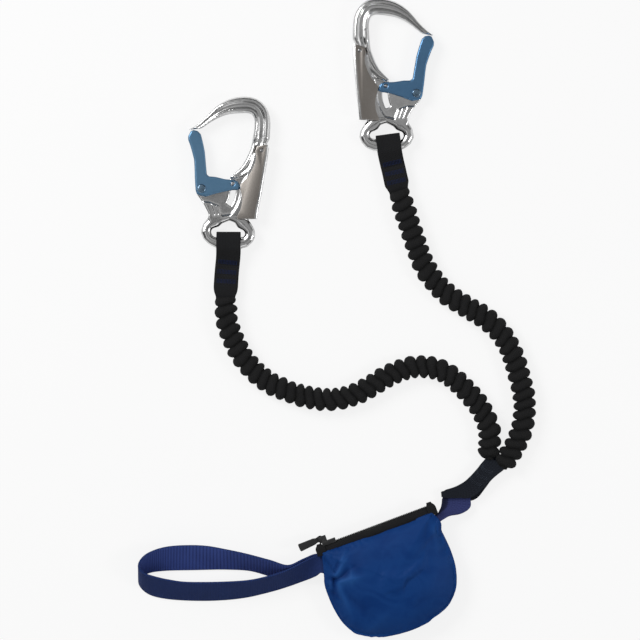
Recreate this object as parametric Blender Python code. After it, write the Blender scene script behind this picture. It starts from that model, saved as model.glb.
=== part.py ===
# Via ferrata lanyard: two sprung karabiners on gathered elastic arms, sewn together
# and linked to an energy absorber in a zipped pouch with a webbing tie-in loop.
# It lies flat on the XY plane, seen from +Z, with the karabiners towards +Y.
# Units are metres. Run with: blender --background --python part.py

import bpy
import bmesh
import math
from mathutils import Matrix, Vector

# Plan of the lying lanyard. Places in it are counted in picture units from its
# lower left, and one unit is PLAN_UNIT long.
PLAN_UNIT = 0.00085
PLAN_CENTRE_X = 322.0
PLAN_CENTRE_Y = 318.0

# Karabiner. Its own frame has the origin on the axis of the eye bar, +X towards
# the spine, +Y towards the hook and Z across its thickness.
KARABINER_LENGTH = 0.130
KARABINER_AXIS_HEIGHT = 0.0066
HOOK_THICKNESS = 0.0116
NOSE_THICKNESS = 0.0084
SPINE_THICKNESS = 0.0088
WEB_THICKNESS = 0.0044
EYE_THICKNESS = 0.0084
PIVOT_CLEARANCE = 0.0003
SIDE_CLEARANCE = 0.0003
CUT_OVERRUN = 0.002

GATE_THICKNESS = 0.0090
GATE_EDGE_BEVEL = 0.0009
GATE_LOBE_RADIUS = 0.0090
GATE_LOBE_CLEARANCE = 0.0006
GATE_NOSE_CLEARANCE = 0.00035
GATE_OPENING_DEG = 35.0
RIVET_RADIUS = 0.0023
RIVET_HEAD_RADIUS = 0.0038
RIVET_HEAD_HEIGHT = 0.0009
LOCK_PIN_RADIUS = 0.0015
LOCK_SLOT_PLAY = 0.0009

LEVER_THICKNESS = 0.0124
LEVER_SHEET = 0.0010
LEVER_SQUEEZE_DEG = 3.0
LEVER_PIN_RADIUS = 0.0014
LEVER_PIN_HEAD_RADIUS = 0.0024
LEVER_PIN_HEAD_HEIGHT = 0.0005

SPRING_WIRE_RADIUS = 0.00035
SPRING_PITCH = 0.0013
GATE_SPRING_TURNS = 2
GATE_SPRING_RADIUS = 0.0042
LEVER_SPRING_TURNS = 3
LEVER_SPRING_RADIUS = 0.0019
SPRING_TURN_POINTS = 10

# Webbing
WEBBING_THICKNESS = 0.0017
PLY_GAP = 0.0003
FLOOR_CLEARANCE = 0.00005
END_LOOP_WIDTH = 0.0208
EYE_WRAP_SLACK = 0.0030
STRAP_WIDTH = 0.0200
TIE_IN_WIDTH = 0.0250

# Elastic arms
ARM_WIDTH = 0.0195
ARM_GROOVE_WIDTH = 0.0150
ARM_FLATNESS_SHARE = 0.68
ARM_END_SHARE = 0.72
ARM_BORE_WIDTH = 0.0098
ARM_CORE_WIDTH = 0.0088
ARM_HEIGHT = 0.0070
RIB_PITCH = 0.0086

# Pouch
POUCH_SEAM_HEIGHT = 0.0130
POUCH_FRONT_RISE = 0.0165
POUCH_BACK_DROP = 0.0128
POUCH_WALL = 0.0009
POUCH_SEAM_GAP = 0.0003
POUCH_MOUTH_HEIGHT = 0.0048
PACK_START_PLAN = (356.0, 580.0)
PACK_PLIES = 5
PACK_END_PLAN = (425.0, 551.0)
PACK_WIDTH = 0.024
PACK_THICKNESS = 0.0024

# Zip
ZIP_CHAIN_HEIGHT = 0.0026
ZIP_CHAIN_DEPTH = 0.0016
ZIP_CHAIN_GAP = 0.0012
ZIP_TOOTH_PITCH = 0.0030
ZIP_TOOTH_DEPTH = 0.0007
ZIP_TAPE_THICKNESS = 0.0006
ZIP_TAPE_WIDTH = 0.0052
SLIDER_LENGTH = 0.0120
SLIDER_WING = 0.0015
SLIDER_WIDTH = 0.0078
SLIDER_CLEARANCE = 0.0004
SLIDER_POST = 0.0005
PULL_LENGTH = 0.0195
PULL_WIDTH = 0.0056
PULL_THICKNESS = 0.0016
PULL_PIN_RADIUS = 0.0008


# Colours of the finishes: base colour, metallic, roughness.
FINISHES = {
    "polished_aluminium": ((0.72, 0.73, 0.74), 1.0, 0.22),
    "satin_steel": ((0.48, 0.46, 0.44), 1.0, 0.38),
    "blue_anodised": ((0.10, 0.24, 0.40), 0.8, 0.35),
    "bright_steel": ((0.70, 0.70, 0.72), 1.0, 0.25),
    "black_webbing": ((0.012, 0.013, 0.017), 0.0, 0.85),
    "elastic_core": ((0.020, 0.020, 0.022), 0.0, 0.7),
    "blue_webbing": ((0.035, 0.055, 0.22), 0.0, 0.8),
    "blue_nylon": ((0.004, 0.04, 0.18), 0.0, 0.6),
    "black_zip": ((0.010, 0.010, 0.012), 0.0, 0.6),
}


def plan(x_units, y_units, height=0.0):
    """A point of the plan: picture units from its upper left, and a height."""
    return Vector(((x_units - PLAN_CENTRE_X) * PLAN_UNIT, (PLAN_CENTRE_Y - y_units) * PLAN_UNIT, height))


def clear_scene():
    for thing in list(bpy.data.objects):
        bpy.data.objects.remove(thing, do_unlink=True)


def finish(name):
    material = bpy.data.materials.get(name)
    if material:
        return material
    colour, metallic, roughness = FINISHES[name]
    material = bpy.data.materials.new(name)
    material.use_nodes = True
    shader = material.node_tree.nodes["Principled BSDF"]
    shader.inputs["Base Color"].default_value = (*colour, 1.0)
    shader.inputs["Metallic"].default_value = metallic
    shader.inputs["Roughness"].default_value = roughness
    return material


def add_mesh(name, form, material, parent=None, smooth_deg=40.0):
    """A named object from a bmesh, with round faces shaded smooth."""
    bmesh.ops.recalc_face_normals(form, faces=form.faces)
    mesh = bpy.data.meshes.new(name)
    form.to_mesh(mesh)
    form.free()
    mesh.materials.append(finish(material))
    mesh.shade_smooth()
    mesh.set_sharp_from_angle(angle=math.radians(smooth_deg))
    thing = bpy.data.objects.new(name, mesh)
    bpy.context.collection.objects.link(thing)
    thing.parent = parent
    return thing


def add_empty(name, place, turn=(0.0, 0.0, 0.0), parent=None):
    empty = bpy.data.objects.new(name, None)
    empty.location = place
    empty.rotation_euler = turn
    empty.parent = parent
    bpy.context.collection.objects.link(empty)
    return empty


def boolean(target, operand, operation):
    """Adds or cuts with an exact Boolean; the operand stays as a hidden guide."""
    operand.hide_render = True
    operand.display_type = "WIRE"
    step = target.modifiers.new(operation.lower(), "BOOLEAN")
    step.operation = operation
    step.solver = "EXACT"
    step.object = operand


def smooth_points(points, count, closed=False):
    """Points at even parameters on the Catmull-Rom curve through the given ones."""
    size = len(points[0])
    total = len(points)
    spans = total if closed else total - 1
    steps = count if closed else count - 1
    result = []
    for index in range(count):
        place = index * spans / steps
        span = min(int(place), spans - 1)
        t = place - span
        near = []
        for offset in (-1, 0, 1, 2):
            pick = span + offset
            pick = pick % total if closed else min(max(pick, 0), total - 1)
            near.append(points[pick])
        a, b, c, d = near
        result.append(tuple(
            0.5 * (2 * b[k] + (c[k] - a[k]) * t + (2 * a[k] - 5 * b[k] + 4 * c[k] - d[k]) * t * t
                   + (3 * b[k] - a[k] - 3 * c[k] + d[k]) * t ** 3)
            for k in range(size)))
    return result


def bridge_rings(form, rings, closed):
    """Skins a row of equal rings of vertices, and caps an open row at both ends."""
    pairs = list(zip(rings, rings[1:]))
    if closed:
        pairs.append((rings[-1], rings[0]))
    for first, second in pairs:
        around = len(first)
        for k in range(around):
            form.faces.new((first[k], first[(k + 1) % around], second[(k + 1) % around], second[k]))
    if not closed:
        form.faces.new(rings[0])
        form.faces.new(rings[-1])


def rail_form(outer, inner, heights, section_shares, closed=False):
    """A bar between two rails in its own plane. Each section point is a share of the
    way from the outer to the inner rail and a share of half the height there."""
    form = bmesh.new()
    rings = []
    for (ox, oy), (ix, iy), height in zip(outer, inner, heights):
        ring = []
        for across, up in section_shares:
            ring.append(form.verts.new((ox + (ix - ox) * across, oy + (iy - oy) * across, height * up / 2)))
        rings.append(ring)
    bridge_rings(form, rings, closed)
    return form


def prism(outline, low, high, bevel=0.0):
    """An outline in the XY plane, extruded from one height to another."""
    form = bmesh.new()
    corners = [form.verts.new((x, y, low)) for x, y in outline]
    face = form.faces.new(corners)
    raised = bmesh.ops.extrude_face_region(form, geom=[face])
    lifted = [item for item in raised["geom"] if isinstance(item, bmesh.types.BMVert)]
    bmesh.ops.translate(form, verts=lifted, vec=(0.0, 0.0, high - low))
    if bevel:
        rims = [edge for edge in form.edges if abs(edge.verts[0].co.z - edge.verts[1].co.z) < bevel]
        bmesh.ops.bevel(form, geom=rims, offset=bevel, segments=1, profile=0.5, affect="EDGES",
                        material=-1, clamp_overlap=True)
    return form


def turned(profile, sides, centre=(0.0, 0.0, 0.0)):
    """A solid turned about an axis along Z, from (radius, height) points off the axis."""
    form = bmesh.new()
    rings = []
    for radius, height in profile:
        ring = []
        for k in range(sides):
            angle = 2 * math.pi * k / sides
            ring.append(form.verts.new((centre[0] + radius * math.cos(angle),
                                        centre[1] + radius * math.sin(angle), centre[2] + height)))
        rings.append(ring)
    bridge_rings(form, rings, False)
    bmesh.ops.triangulate(form, faces=form.faces)
    return form


def arc_points(centre, radius, start_deg, end_deg, steps):
    points = []
    for k in range(steps + 1):
        angle = math.radians(start_deg + (end_deg - start_deg) * k / steps)
        points.append((centre[0] + radius * math.cos(angle), centre[1] + radius * math.sin(angle)))
    return points


def ribbon(low_rail, high_rail, thickness):
    """A flat strap whose two edges follow two rails of points in space."""
    form = bmesh.new()
    rings = []
    last = len(low_rail) - 1
    for k, (low, high) in enumerate(zip(low_rail, high_rail)):
        before, after = max(k - 1, 0), min(k + 1, last)
        along = (Vector(low_rail[after]) + Vector(high_rail[after])
                 - Vector(low_rail[before]) - Vector(high_rail[before]))
        across = Vector(high) - Vector(low)
        side = across.cross(along).normalized() * thickness / 2
        rings.append([form.verts.new(Vector(low) - side), form.verts.new(Vector(high) - side),
                      form.verts.new(Vector(high) + side), form.verts.new(Vector(low) + side)])
    bridge_rings(form, rings, False)
    bmesh.ops.triangulate(form, faces=form.faces)
    return form


# Karabiner outlines, in shares of its length from the axis of the eye bar.
RIVET_SHARE = (-0.1746, 0.3554)
LOCK_PIN_SHARE = (0.0285, 0.3869)
LEVER_PIN_SHARE = (0.2177, 0.6038)
LEVER_SPRING_SHARE = (0.1350, 0.2310)
HOOK_OUTER_SHARES = [
    (-0.263, 0.739), (-0.212, 0.768), (-0.149, 0.822), (-0.079, 0.892), (0.009, 0.941),
    (0.105, 0.957), (0.187, 0.941), (0.242, 0.892), (0.270, 0.825), (0.273, 0.755),
]
HOOK_INNER_SHARES = [
    (-0.181, 0.749), (-0.163, 0.759), (-0.118, 0.790), (-0.058, 0.823), (0.005, 0.843),
    (0.081, 0.850), (0.136, 0.849), (0.163, 0.829), (0.172, 0.787), (0.168, 0.742),
]
HOOK_HEIGHT_SHARES = [0.0, 0.1, 0.35, 0.7, 0.95, 1.0, 1.0, 1.0, 1.0, 1.0]
BAND_OUTER_SHARES = [
    (0.269, 0.681), (0.252, 0.652), (0.240, 0.612), (0.212, 0.538), (0.158, 0.477),
    (0.100, 0.435), (0.042, 0.425),
]
BAND_INNER_SHARES = [
    (0.160, 0.688), (0.154, 0.652), (0.143, 0.609), (0.112, 0.543), (0.082, 0.495),
    (0.048, 0.463), (0.008, 0.428),
]
BAND_HEIGHT_SHARES = [0.8, 0.0, 0.0, 0.0, 0.0, 0.0, 0.0]
# Across from the outer to the inner rail, and up as a share of half the height:
# two rims with a recessed groove between them on both faces.
HOOK_SECTION_SHARES = [
    (0.0, 0.45), (0.10, 0.90), (0.28, 1.0), (0.38, 0.70), (0.66, 0.70), (0.75, 0.95), (0.90, 0.86),
    (1.0, 0.40), (1.0, -0.40), (0.90, -0.86), (0.75, -0.95), (0.66, -0.70), (0.38, -0.70),
    (0.28, -1.0), (0.10, -0.90), (0.0, -0.45),
]
HOOK_STATIONS = 19
WEB_LEFT_SHARES = [
    (-0.212, 0.400), (-0.211, 0.346), (-0.205, 0.315), (-0.181, 0.282), (-0.162, 0.254),
    (-0.143, 0.216), (-0.130, 0.191), (-0.135, 0.158), (-0.108, 0.131), (-0.065, 0.127),
    (-0.040, 0.150), (0.006, 0.165), (0.048, 0.150), (0.072, 0.115), (0.100, 0.123), (0.118, 0.154),
]
SPINE_OUTER_SHARES = [(0.149, 0.158), (0.192, 0.338), (0.233, 0.531), (0.240, 0.612)]
WEB_RIGHT_SHARES = [(0.146, 0.615), (0.108, 0.523), (0.062, 0.462), (0.019, 0.423)]
SPINE_INNER_TOP_SHARES = [(0.169, 0.585), (0.146, 0.508), (0.115, 0.431)]
SHOULDER_SHARES = [
    (-0.169, 0.268), (-0.123, 0.264), (-0.066, 0.241), (-0.048, 0.185), (-0.040, 0.150),
    (-0.065, 0.127), (-0.108, 0.131), (-0.135, 0.158), (-0.130, 0.191), (-0.143, 0.216),
    (-0.162, 0.254),
]
SHOULDER_FLUTES_SHARES = [((-0.118, 0.262), (-0.092, 0.180)), ((-0.085, 0.250), (-0.068, 0.182))]
FLUTE_WIDTH = 0.0014
FLUTE_DEPTH = 0.0008
EYE_OUTER_SHARES = [
    (-0.062, 0.181), (-0.127, 0.173), (-0.166, 0.123), (-0.181, 0.070), (-0.163, 0.025),
    (-0.130, -0.006), (-0.085, -0.030), (0.000, -0.041), (0.079, -0.038), (0.122, -0.025),
    (0.156, 0.005), (0.174, 0.040), (0.172, 0.081), (0.148, 0.127), (0.115, 0.169), (0.062, 0.181),
    (0.006, 0.189),
]
EYE_INNER_SHARES = [
    (-0.043, 0.128), (-0.063, 0.108), (-0.105, 0.095), (-0.115, 0.075), (-0.109, 0.054),
    (-0.094, 0.040), (-0.062, 0.036), (0.000, 0.035), (0.062, 0.036), (0.094, 0.038), (0.107, 0.049),
    (0.109, 0.066), (0.098, 0.082), (0.079, 0.091), (0.060, 0.102), (0.042, 0.133), (0.006, 0.148),
]
EYE_SECTION_SHARES = [
    (0.0, 0.35), (0.14, 0.80), (0.38, 1.0), (0.62, 1.0), (0.86, 0.80), (1.0, 0.35),
    (1.0, -0.35), (0.86, -0.80), (0.62, -1.0), (0.38, -1.0), (0.14, -0.80), (0.0, -0.35),
]
FINGER_LEFT_SHARES = [
    (-0.226, 0.738), (-0.245, 0.732), (-0.263, 0.698), (-0.263, 0.673), (-0.251, 0.641),
    (-0.238, 0.597), (-0.225, 0.546), (-0.222, 0.502), (-0.219, 0.406), (-0.215, 0.343),
    (-0.206, 0.317),
]
ARM_BOTTOM_SHARES = [
    (-0.149, 0.302), (-0.085, 0.321), (-0.022, 0.336), (0.028, 0.346), (0.065, 0.346),
]
ARM_TOP_SHARES = [
    (0.074, 0.357), (0.074, 0.381), (0.060, 0.403), (0.028, 0.412), (-0.022, 0.417),
    (-0.085, 0.432), (-0.126, 0.435), (-0.142, 0.449),
]
FINGER_RIGHT_SHARES = [
    (-0.149, 0.533), (-0.155, 0.597), (-0.168, 0.660), (-0.181, 0.711), (-0.200, 0.731),
]
GATE_ARM_END_SHARE = 0.253
LEVER_INNER_SHARES = [
    (0.176, 0.597), (0.181, 0.552), (0.172, 0.514), (0.152, 0.470), (0.130, 0.435), (0.105, 0.406),
    (0.079, 0.381), (0.079, 0.343), (0.089, 0.298), (0.089, 0.260), (0.079, 0.216), (0.060, 0.178),
    (0.054, 0.158),
]
LEVER_OUTER_SHARES = [
    (0.185, 0.158), (0.194, 0.216), (0.206, 0.279), (0.219, 0.343), (0.235, 0.438),
    (0.251, 0.533), (0.264, 0.622),
]
LEVER_TOP_SHARES = [(0.258, 0.640), (0.225, 0.638), (0.187, 0.628)]
LEVER_FOLD_BEVEL = 0.0014
LEVER_FOLD_INNER_BEVEL = 0.0008
LEVER_SPRING_POCKET = 0.0036
ROUND_SIDES = 16
ARC_STEPS = 9


def at(share):
    """A point of the karabiner in metres from its shares."""
    return (share[0] * KARABINER_LENGTH, share[1] * KARABINER_LENGTH)


def all_at(shares):
    return [at(share) for share in shares]


def polar_from_rivet(point):
    rivet = at(RIVET_SHARE)
    across, up = point[0] - rivet[0], point[1] - rivet[1]
    return math.hypot(across, up), math.degrees(math.atan2(up, across))


def guide(name, form, parent):
    cutter = add_mesh(name, form, "bright_steel", parent)
    cutter.hide_render = True
    cutter.display_type = "WIRE"
    return cutter


def hang(form, pivot):
    """Moves a form so that its origin is on the pivot."""
    bmesh.ops.translate(form, verts=form.verts, vec=(-pivot[0], -pivot[1], 0.0))
    return form


def build_frame(side, base):
    """The forged frame: grooved hook, thin web, spine, shoulder and sewn-in eye."""
    rivet = at(RIVET_SHARE)
    outer = smooth_points(all_at(HOOK_OUTER_SHARES), HOOK_STATIONS) + all_at(BAND_OUTER_SHARES)
    inner = smooth_points(all_at(HOOK_INNER_SHARES), HOOK_STATIONS) + all_at(BAND_INNER_SHARES)
    rise = smooth_points([(share,) for share in HOOK_HEIGHT_SHARES], HOOK_STATIONS)
    heights = [NOSE_THICKNESS + (HOOK_THICKNESS - NOSE_THICKNESS) * share[0] for share in rise]
    heights += [SPINE_THICKNESS + (HOOK_THICKNESS - SPINE_THICKNESS) * share for share in BAND_HEIGHT_SHARES]
    frame = add_mesh(side + "_frame", rail_form(outer, inner, heights, HOOK_SECTION_SHARES),
                     "polished_aluminium", base)

    lobe = arc_points(rivet, GATE_LOBE_RADIUS, -21.0, 122.0, ARC_STEPS)
    web_outline = lobe + all_at(WEB_LEFT_SHARES) + all_at(SPINE_OUTER_SHARES) + all_at(WEB_RIGHT_SHARES)
    web = guide(side + "_web_guide", prism(web_outline, -WEB_THICKNESS / 2, WEB_THICKNESS / 2), base)

    arm_reach = GATE_ARM_END_SHARE * KARABINER_LENGTH + SIDE_CLEARANCE * 2
    rim_arc = arc_points(rivet, arm_reach, -44.0, 2.0, ARC_STEPS)
    spine_outline = rim_arc + all_at(SPINE_INNER_TOP_SHARES[::-1]) + all_at(SPINE_OUTER_SHARES[::-1])
    spine = guide(side + "_spine_guide", prism(spine_outline, -SPINE_THICKNESS / 2, SPINE_THICKNESS / 2), base)
    shoulder = guide(side + "_shoulder_guide",
                     prism(all_at(SHOULDER_SHARES), -EYE_THICKNESS / 2, EYE_THICKNESS / 2), base)
    eye_heights = [EYE_THICKNESS] * len(EYE_OUTER_SHARES)
    eye = guide(side + "_eye_guide", rail_form(all_at(EYE_OUTER_SHARES), all_at(EYE_INNER_SHARES),
                                               eye_heights, EYE_SECTION_SHARES, closed=True), base)
    for piece in (web, spine, shoulder, eye):
        boolean(frame, piece, "UNION")

    reach = HOOK_THICKNESS
    hole = turned([(RIVET_RADIUS + PIVOT_CLEARANCE, -reach), (RIVET_RADIUS + PIVOT_CLEARANCE, reach)],
                  ROUND_SIDES, (*rivet, 0.0))
    boolean(frame, guide(side + "_rivet_hole", hole, base), "DIFFERENCE")
    pocket_radius = GATE_SPRING_RADIUS + SPRING_WIRE_RADIUS + PIVOT_CLEARANCE * 2
    pocket_floor = WEB_THICKNESS / 2 - GATE_SPRING_TURNS * SPRING_PITCH - SPRING_WIRE_RADIUS * 2 - PIVOT_CLEARANCE
    pocket = turned([(pocket_radius, pocket_floor), (pocket_radius, reach)], ROUND_SIDES, (*rivet, 0.0))
    boolean(frame, guide(side + "_gate_spring_pocket", pocket, base), "DIFFERENCE")

    pin_arm, pin_angle = polar_from_rivet(at(LOCK_PIN_SHARE))
    slot_half = LOCK_PIN_RADIUS + LOCK_SLOT_PLAY
    margin = math.degrees(slot_half / pin_arm)
    low_angle = pin_angle - GATE_OPENING_DEG - margin
    high_angle = pin_angle + margin
    slot_outline = (arc_points(rivet, pin_arm - slot_half, low_angle, high_angle, ARC_STEPS)
                    + arc_points(rivet, pin_arm + slot_half, high_angle, low_angle, ARC_STEPS))
    boolean(frame, guide(side + "_lock_slot", prism(slot_outline, -reach, reach), base), "DIFFERENCE")

    lever_pin = at(LEVER_PIN_SHARE)
    pin_hole = turned([(LEVER_PIN_RADIUS + PIVOT_CLEARANCE, -reach), (LEVER_PIN_RADIUS + PIVOT_CLEARANCE, reach)],
                      ROUND_SIDES, (*lever_pin, 0.0))
    boolean(frame, guide(side + "_lever_pin_hole", pin_hole, base), "DIFFERENCE")

    seat = at(LEVER_SPRING_SHARE)
    bore = LEVER_SPRING_RADIUS + SPRING_WIRE_RADIUS + PIVOT_CLEARANCE * 2
    pocket = turned([(bore, 0.0), (bore, reach)], ROUND_SIDES)
    bmesh.ops.rotate(pocket, verts=pocket.verts, matrix=Matrix.Rotation(math.pi / 2, 3, "Y"))
    bmesh.ops.translate(pocket, verts=pocket.verts, vec=(seat[0], seat[1], 0.0))
    boolean(frame, guide(side + "_lever_spring_pocket", pocket, base), "DIFFERENCE")

    for number, (start, end) in enumerate(SHOULDER_FLUTES_SHARES):
        first, last = Vector(at(start)), Vector(at(end))
        aside = (last - first).orthogonal().normalized() * FLUTE_WIDTH / 2
        outline = [tuple(first + aside), tuple(last + aside), tuple(last - aside), tuple(first - aside)]
        for face in (-1, 1):
            level = face * (EYE_THICKNESS / 2 - FLUTE_DEPTH)
            heights = sorted((level, face * reach))
            flute = guide(f"{side}_flute_{number}_{face}", prism(outline, *heights), base)
            boolean(frame, flute, "DIFFERENCE")
    return frame


def build_gate(side, base):
    """The blue gate: a solid finger and two cheeks that straddle the web."""
    rivet, pin = at(RIVET_SHARE), at(LOCK_PIN_SHARE)
    outline = (all_at(FINGER_LEFT_SHARES) + all_at(ARM_BOTTOM_SHARES) + all_at(ARM_TOP_SHARES)
               + all_at(FINGER_RIGHT_SHARES))
    half = GATE_THICKNESS / 2
    gate = add_mesh(side + "_gate", hang(prism(outline, -half, half, GATE_EDGE_BEVEL), rivet),
                    "blue_anodised", base)
    gate.location = (*rivet, 0.0)

    slot_half = WEB_THICKNESS / 2 + SIDE_CLEARANCE
    slot_radius = GATE_LOBE_RADIUS + GATE_LOBE_CLEARANCE
    reach = KARABINER_LENGTH / 2
    corner = at(ARM_TOP_SHARES[-2])
    corner_x = corner[0] + PIVOT_CLEARANCE
    side_step = corner_x - rivet[0]
    start = math.degrees(math.atan2(math.sqrt(max(slot_radius ** 2 - side_step ** 2, 0.0)), side_step))
    circle = arc_points(rivet, slot_radius, start, 180.0, ARC_STEPS)
    slot_outline = circle + [
        (rivet[0] - slot_radius, rivet[1] - reach), (rivet[0] + reach, rivet[1] - reach),
        (rivet[0] + reach, rivet[1] + reach), (corner_x, rivet[1] + reach),
    ]
    boolean(gate, guide(side + "_gate_slot", prism(slot_outline, -slot_half, slot_half), base), "DIFFERENCE")
    for name, place, radius in (("rivet", rivet, RIVET_RADIUS), ("pin", pin, LOCK_PIN_RADIUS)):
        wall = radius + PIVOT_CLEARANCE
        hole = turned([(wall, -GATE_THICKNESS), (wall, GATE_THICKNESS)], ROUND_SIDES, (*place, 0.0))
        boolean(gate, guide(f"{side}_gate_{name}_hole", hole, base), "DIFFERENCE")
    return gate


def build_pins(side, base):
    """Gate rivet with two heads, lock pin in the gate's arm, and the lever's pin."""
    rivet, lock, lever = at(RIVET_SHARE), at(LOCK_PIN_SHARE), at(LEVER_PIN_SHARE)
    inner_face = GATE_THICKNESS / 2 + SIDE_CLEARANCE
    outer_face = inner_face + RIVET_HEAD_HEIGHT
    profile = [(RIVET_HEAD_RADIUS - RIVET_HEAD_HEIGHT, -outer_face), (RIVET_HEAD_RADIUS, -inner_face),
               (RIVET_RADIUS, -inner_face), (RIVET_RADIUS, inner_face), (RIVET_HEAD_RADIUS, inner_face),
               (RIVET_HEAD_RADIUS - RIVET_HEAD_HEIGHT, outer_face)]
    piece = add_mesh(side + "_gate_rivet", turned(profile, ROUND_SIDES), "bright_steel", base)
    piece.location = (*rivet, 0.0)

    half = GATE_THICKNESS / 2 + SIDE_CLEARANCE
    chamfer = LOCK_PIN_RADIUS / 3
    profile = [(LOCK_PIN_RADIUS - chamfer, -half), (LOCK_PIN_RADIUS, chamfer - half),
               (LOCK_PIN_RADIUS, half - chamfer), (LOCK_PIN_RADIUS - chamfer, half)]
    piece = add_mesh(side + "_lock_pin", turned(profile, ROUND_SIDES), "bright_steel", base)
    piece.location = (*lock, 0.0)

    half = LEVER_THICKNESS / 2 + SIDE_CLEARANCE / 2
    chamfer = LEVER_PIN_RADIUS / 3
    profile = [(LEVER_PIN_RADIUS - chamfer, -half), (LEVER_PIN_RADIUS, chamfer - half),
               (LEVER_PIN_RADIUS, half - chamfer), (LEVER_PIN_RADIUS - chamfer, half)]
    piece = add_mesh(side + "_lever_pin", turned(profile, ROUND_SIDES), "bright_steel", base)
    piece.location = (*lever, 0.0)


def fold_prism(outline, fold_points, half, bevel):
    """A prism whose rims are bevelled only along the points of the folded edge."""
    form = prism(outline, -half, half)
    along = {(round(x, 7), round(y, 7)) for x, y in fold_points}
    rims = []
    for edge in form.edges:
        first, second = edge.verts
        keys = {(round(v.co.x, 7), round(v.co.y, 7)) for v in (first, second)}
        if len(keys) == 2 and keys <= along:
            rims.append(edge)
    bmesh.ops.bevel(form, geom=rims, offset=bevel, segments=2, profile=0.5, affect="EDGES",
                    material=-1, clamp_overlap=True)
    return form


def build_palm_lever(side, base):
    """A sheet channel folded round the spine, open at both ends and at the inner side."""
    pivot = at(LEVER_PIN_SHARE)
    fold = all_at(LEVER_OUTER_SHARES)
    outline = all_at(LEVER_INNER_SHARES) + fold + all_at(LEVER_TOP_SHARES)
    half = LEVER_THICKNESS / 2
    lever = add_mesh(side + "_palm_lever", hang(fold_prism(outline, fold, half, LEVER_FOLD_BEVEL), pivot),
                     "satin_steel", base)
    lever.location = (*pivot, 0.0)

    inside = []
    for k, (x, y) in enumerate(fold):
        before, after = fold[max(k - 1, 0)], fold[min(k + 1, len(fold) - 1)]
        along = (Vector(after) - Vector(before)).normalized()
        inside.append((x - along.y * LEVER_SHEET, y + along.x * LEVER_SHEET))
    low, high = inside[0], inside[-1]
    reach = KARABINER_LENGTH / 2
    drop = (low[0] - CUT_OVERRUN / 2, low[1] - CUT_OVERRUN * 2)
    lift = (high[0] + CUT_OVERRUN / 2, high[1] + CUT_OVERRUN * 3)
    inner_outline = [drop] + inside + [lift, (low[0] - reach, lift[1]), (low[0] - reach, drop[1])]
    channel = fold_prism(inner_outline, [drop] + inside + [lift], half - LEVER_SHEET, LEVER_FOLD_INNER_BEVEL)
    boolean(lever, guide(side + "_lever_channel", channel, base), "DIFFERENCE")
    wall = LEVER_PIN_RADIUS + PIVOT_CLEARANCE
    hole = turned([(wall, -LEVER_THICKNESS), (wall, LEVER_THICKNESS)], ROUND_SIDES, (*pivot, 0.0))
    boolean(lever, guide(side + "_lever_hole", hole, base), "DIFFERENCE")
    return lever


def coil_points(radius, pitch, turns):
    """Points of a helix about Z, and the least gap between the wire's turns."""
    points = []
    for k in range(turns * SPRING_TURN_POINTS + 1):
        turn = k / SPRING_TURN_POINTS
        angle = 2 * math.pi * turn
        points.append(Vector((radius * math.cos(angle), radius * math.sin(angle), pitch * turn)))
    least = min(((points[i] - points[j]).length for i in range(len(points))
                 for j in range(i + SPRING_TURN_POINTS // 2, len(points))), default=pitch)
    return points, least - 2 * SPRING_WIRE_RADIUS


def add_wire(name, points, radius, material, parent, resolution=1, radii=None):
    """A tube along a row of points, as a curve with a round bevel and filled caps."""
    curve = bpy.data.curves.new(name, "CURVE")
    curve.dimensions = "3D"
    curve.bevel_depth = radius
    curve.bevel_resolution = resolution
    curve.use_fill_caps = True
    curve.twist_mode = "Z_UP"
    spline = curve.splines.new("POLY")
    spline.points.add(len(points) - 1)
    for k, place in enumerate(points):
        spline.points[k].co = (*place, 1.0)
        spline.points[k].radius = radii[k] if radii else 1.0
    curve.materials.append(finish(material))
    wire = bpy.data.objects.new(name, curve)
    wire.parent = parent
    bpy.context.collection.objects.link(wire)
    return wire


def build_springs(side, base):
    """The gate's coil round its rivet, and the lever's coil in the spine's pocket."""
    rivet, seat = at(RIVET_SHARE), at(LEVER_SPRING_SHARE)
    points, gap = coil_points(GATE_SPRING_RADIUS, SPRING_PITCH, GATE_SPRING_TURNS)
    print(f"{side} gate spring, least gap between turns {gap * 1000:.2f} mm")
    coil = add_wire(side + "_gate_spring", points, SPRING_WIRE_RADIUS, "bright_steel", base)
    top = WEB_THICKNESS / 2 - SPRING_WIRE_RADIUS
    coil.location = (*rivet, top - GATE_SPRING_TURNS * SPRING_PITCH)
    coil.rotation_euler = (0.0, 0.0, 0.0)

    points, gap = coil_points(LEVER_SPRING_RADIUS, SPRING_PITCH, LEVER_SPRING_TURNS)
    print(f"{side} lever spring, least gap between turns {gap * 1000:.2f} mm")
    coil = add_wire(side + "_lever_spring", points, SPRING_WIRE_RADIUS, "bright_steel", base)
    coil.location = (seat[0] + SPRING_WIRE_RADIUS + PIVOT_CLEARANCE, seat[1], 0.0)
    coil.rotation_euler = (0.0, math.pi / 2, 0.0)


def build_karabiner(side, place, turn):
    base = add_empty(side + "_karabiner", place, turn)
    build_frame(side, base)
    build_gate(side, base)
    build_pins(side, base)
    build_palm_lever(side, base)
    build_springs(side, base)


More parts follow.
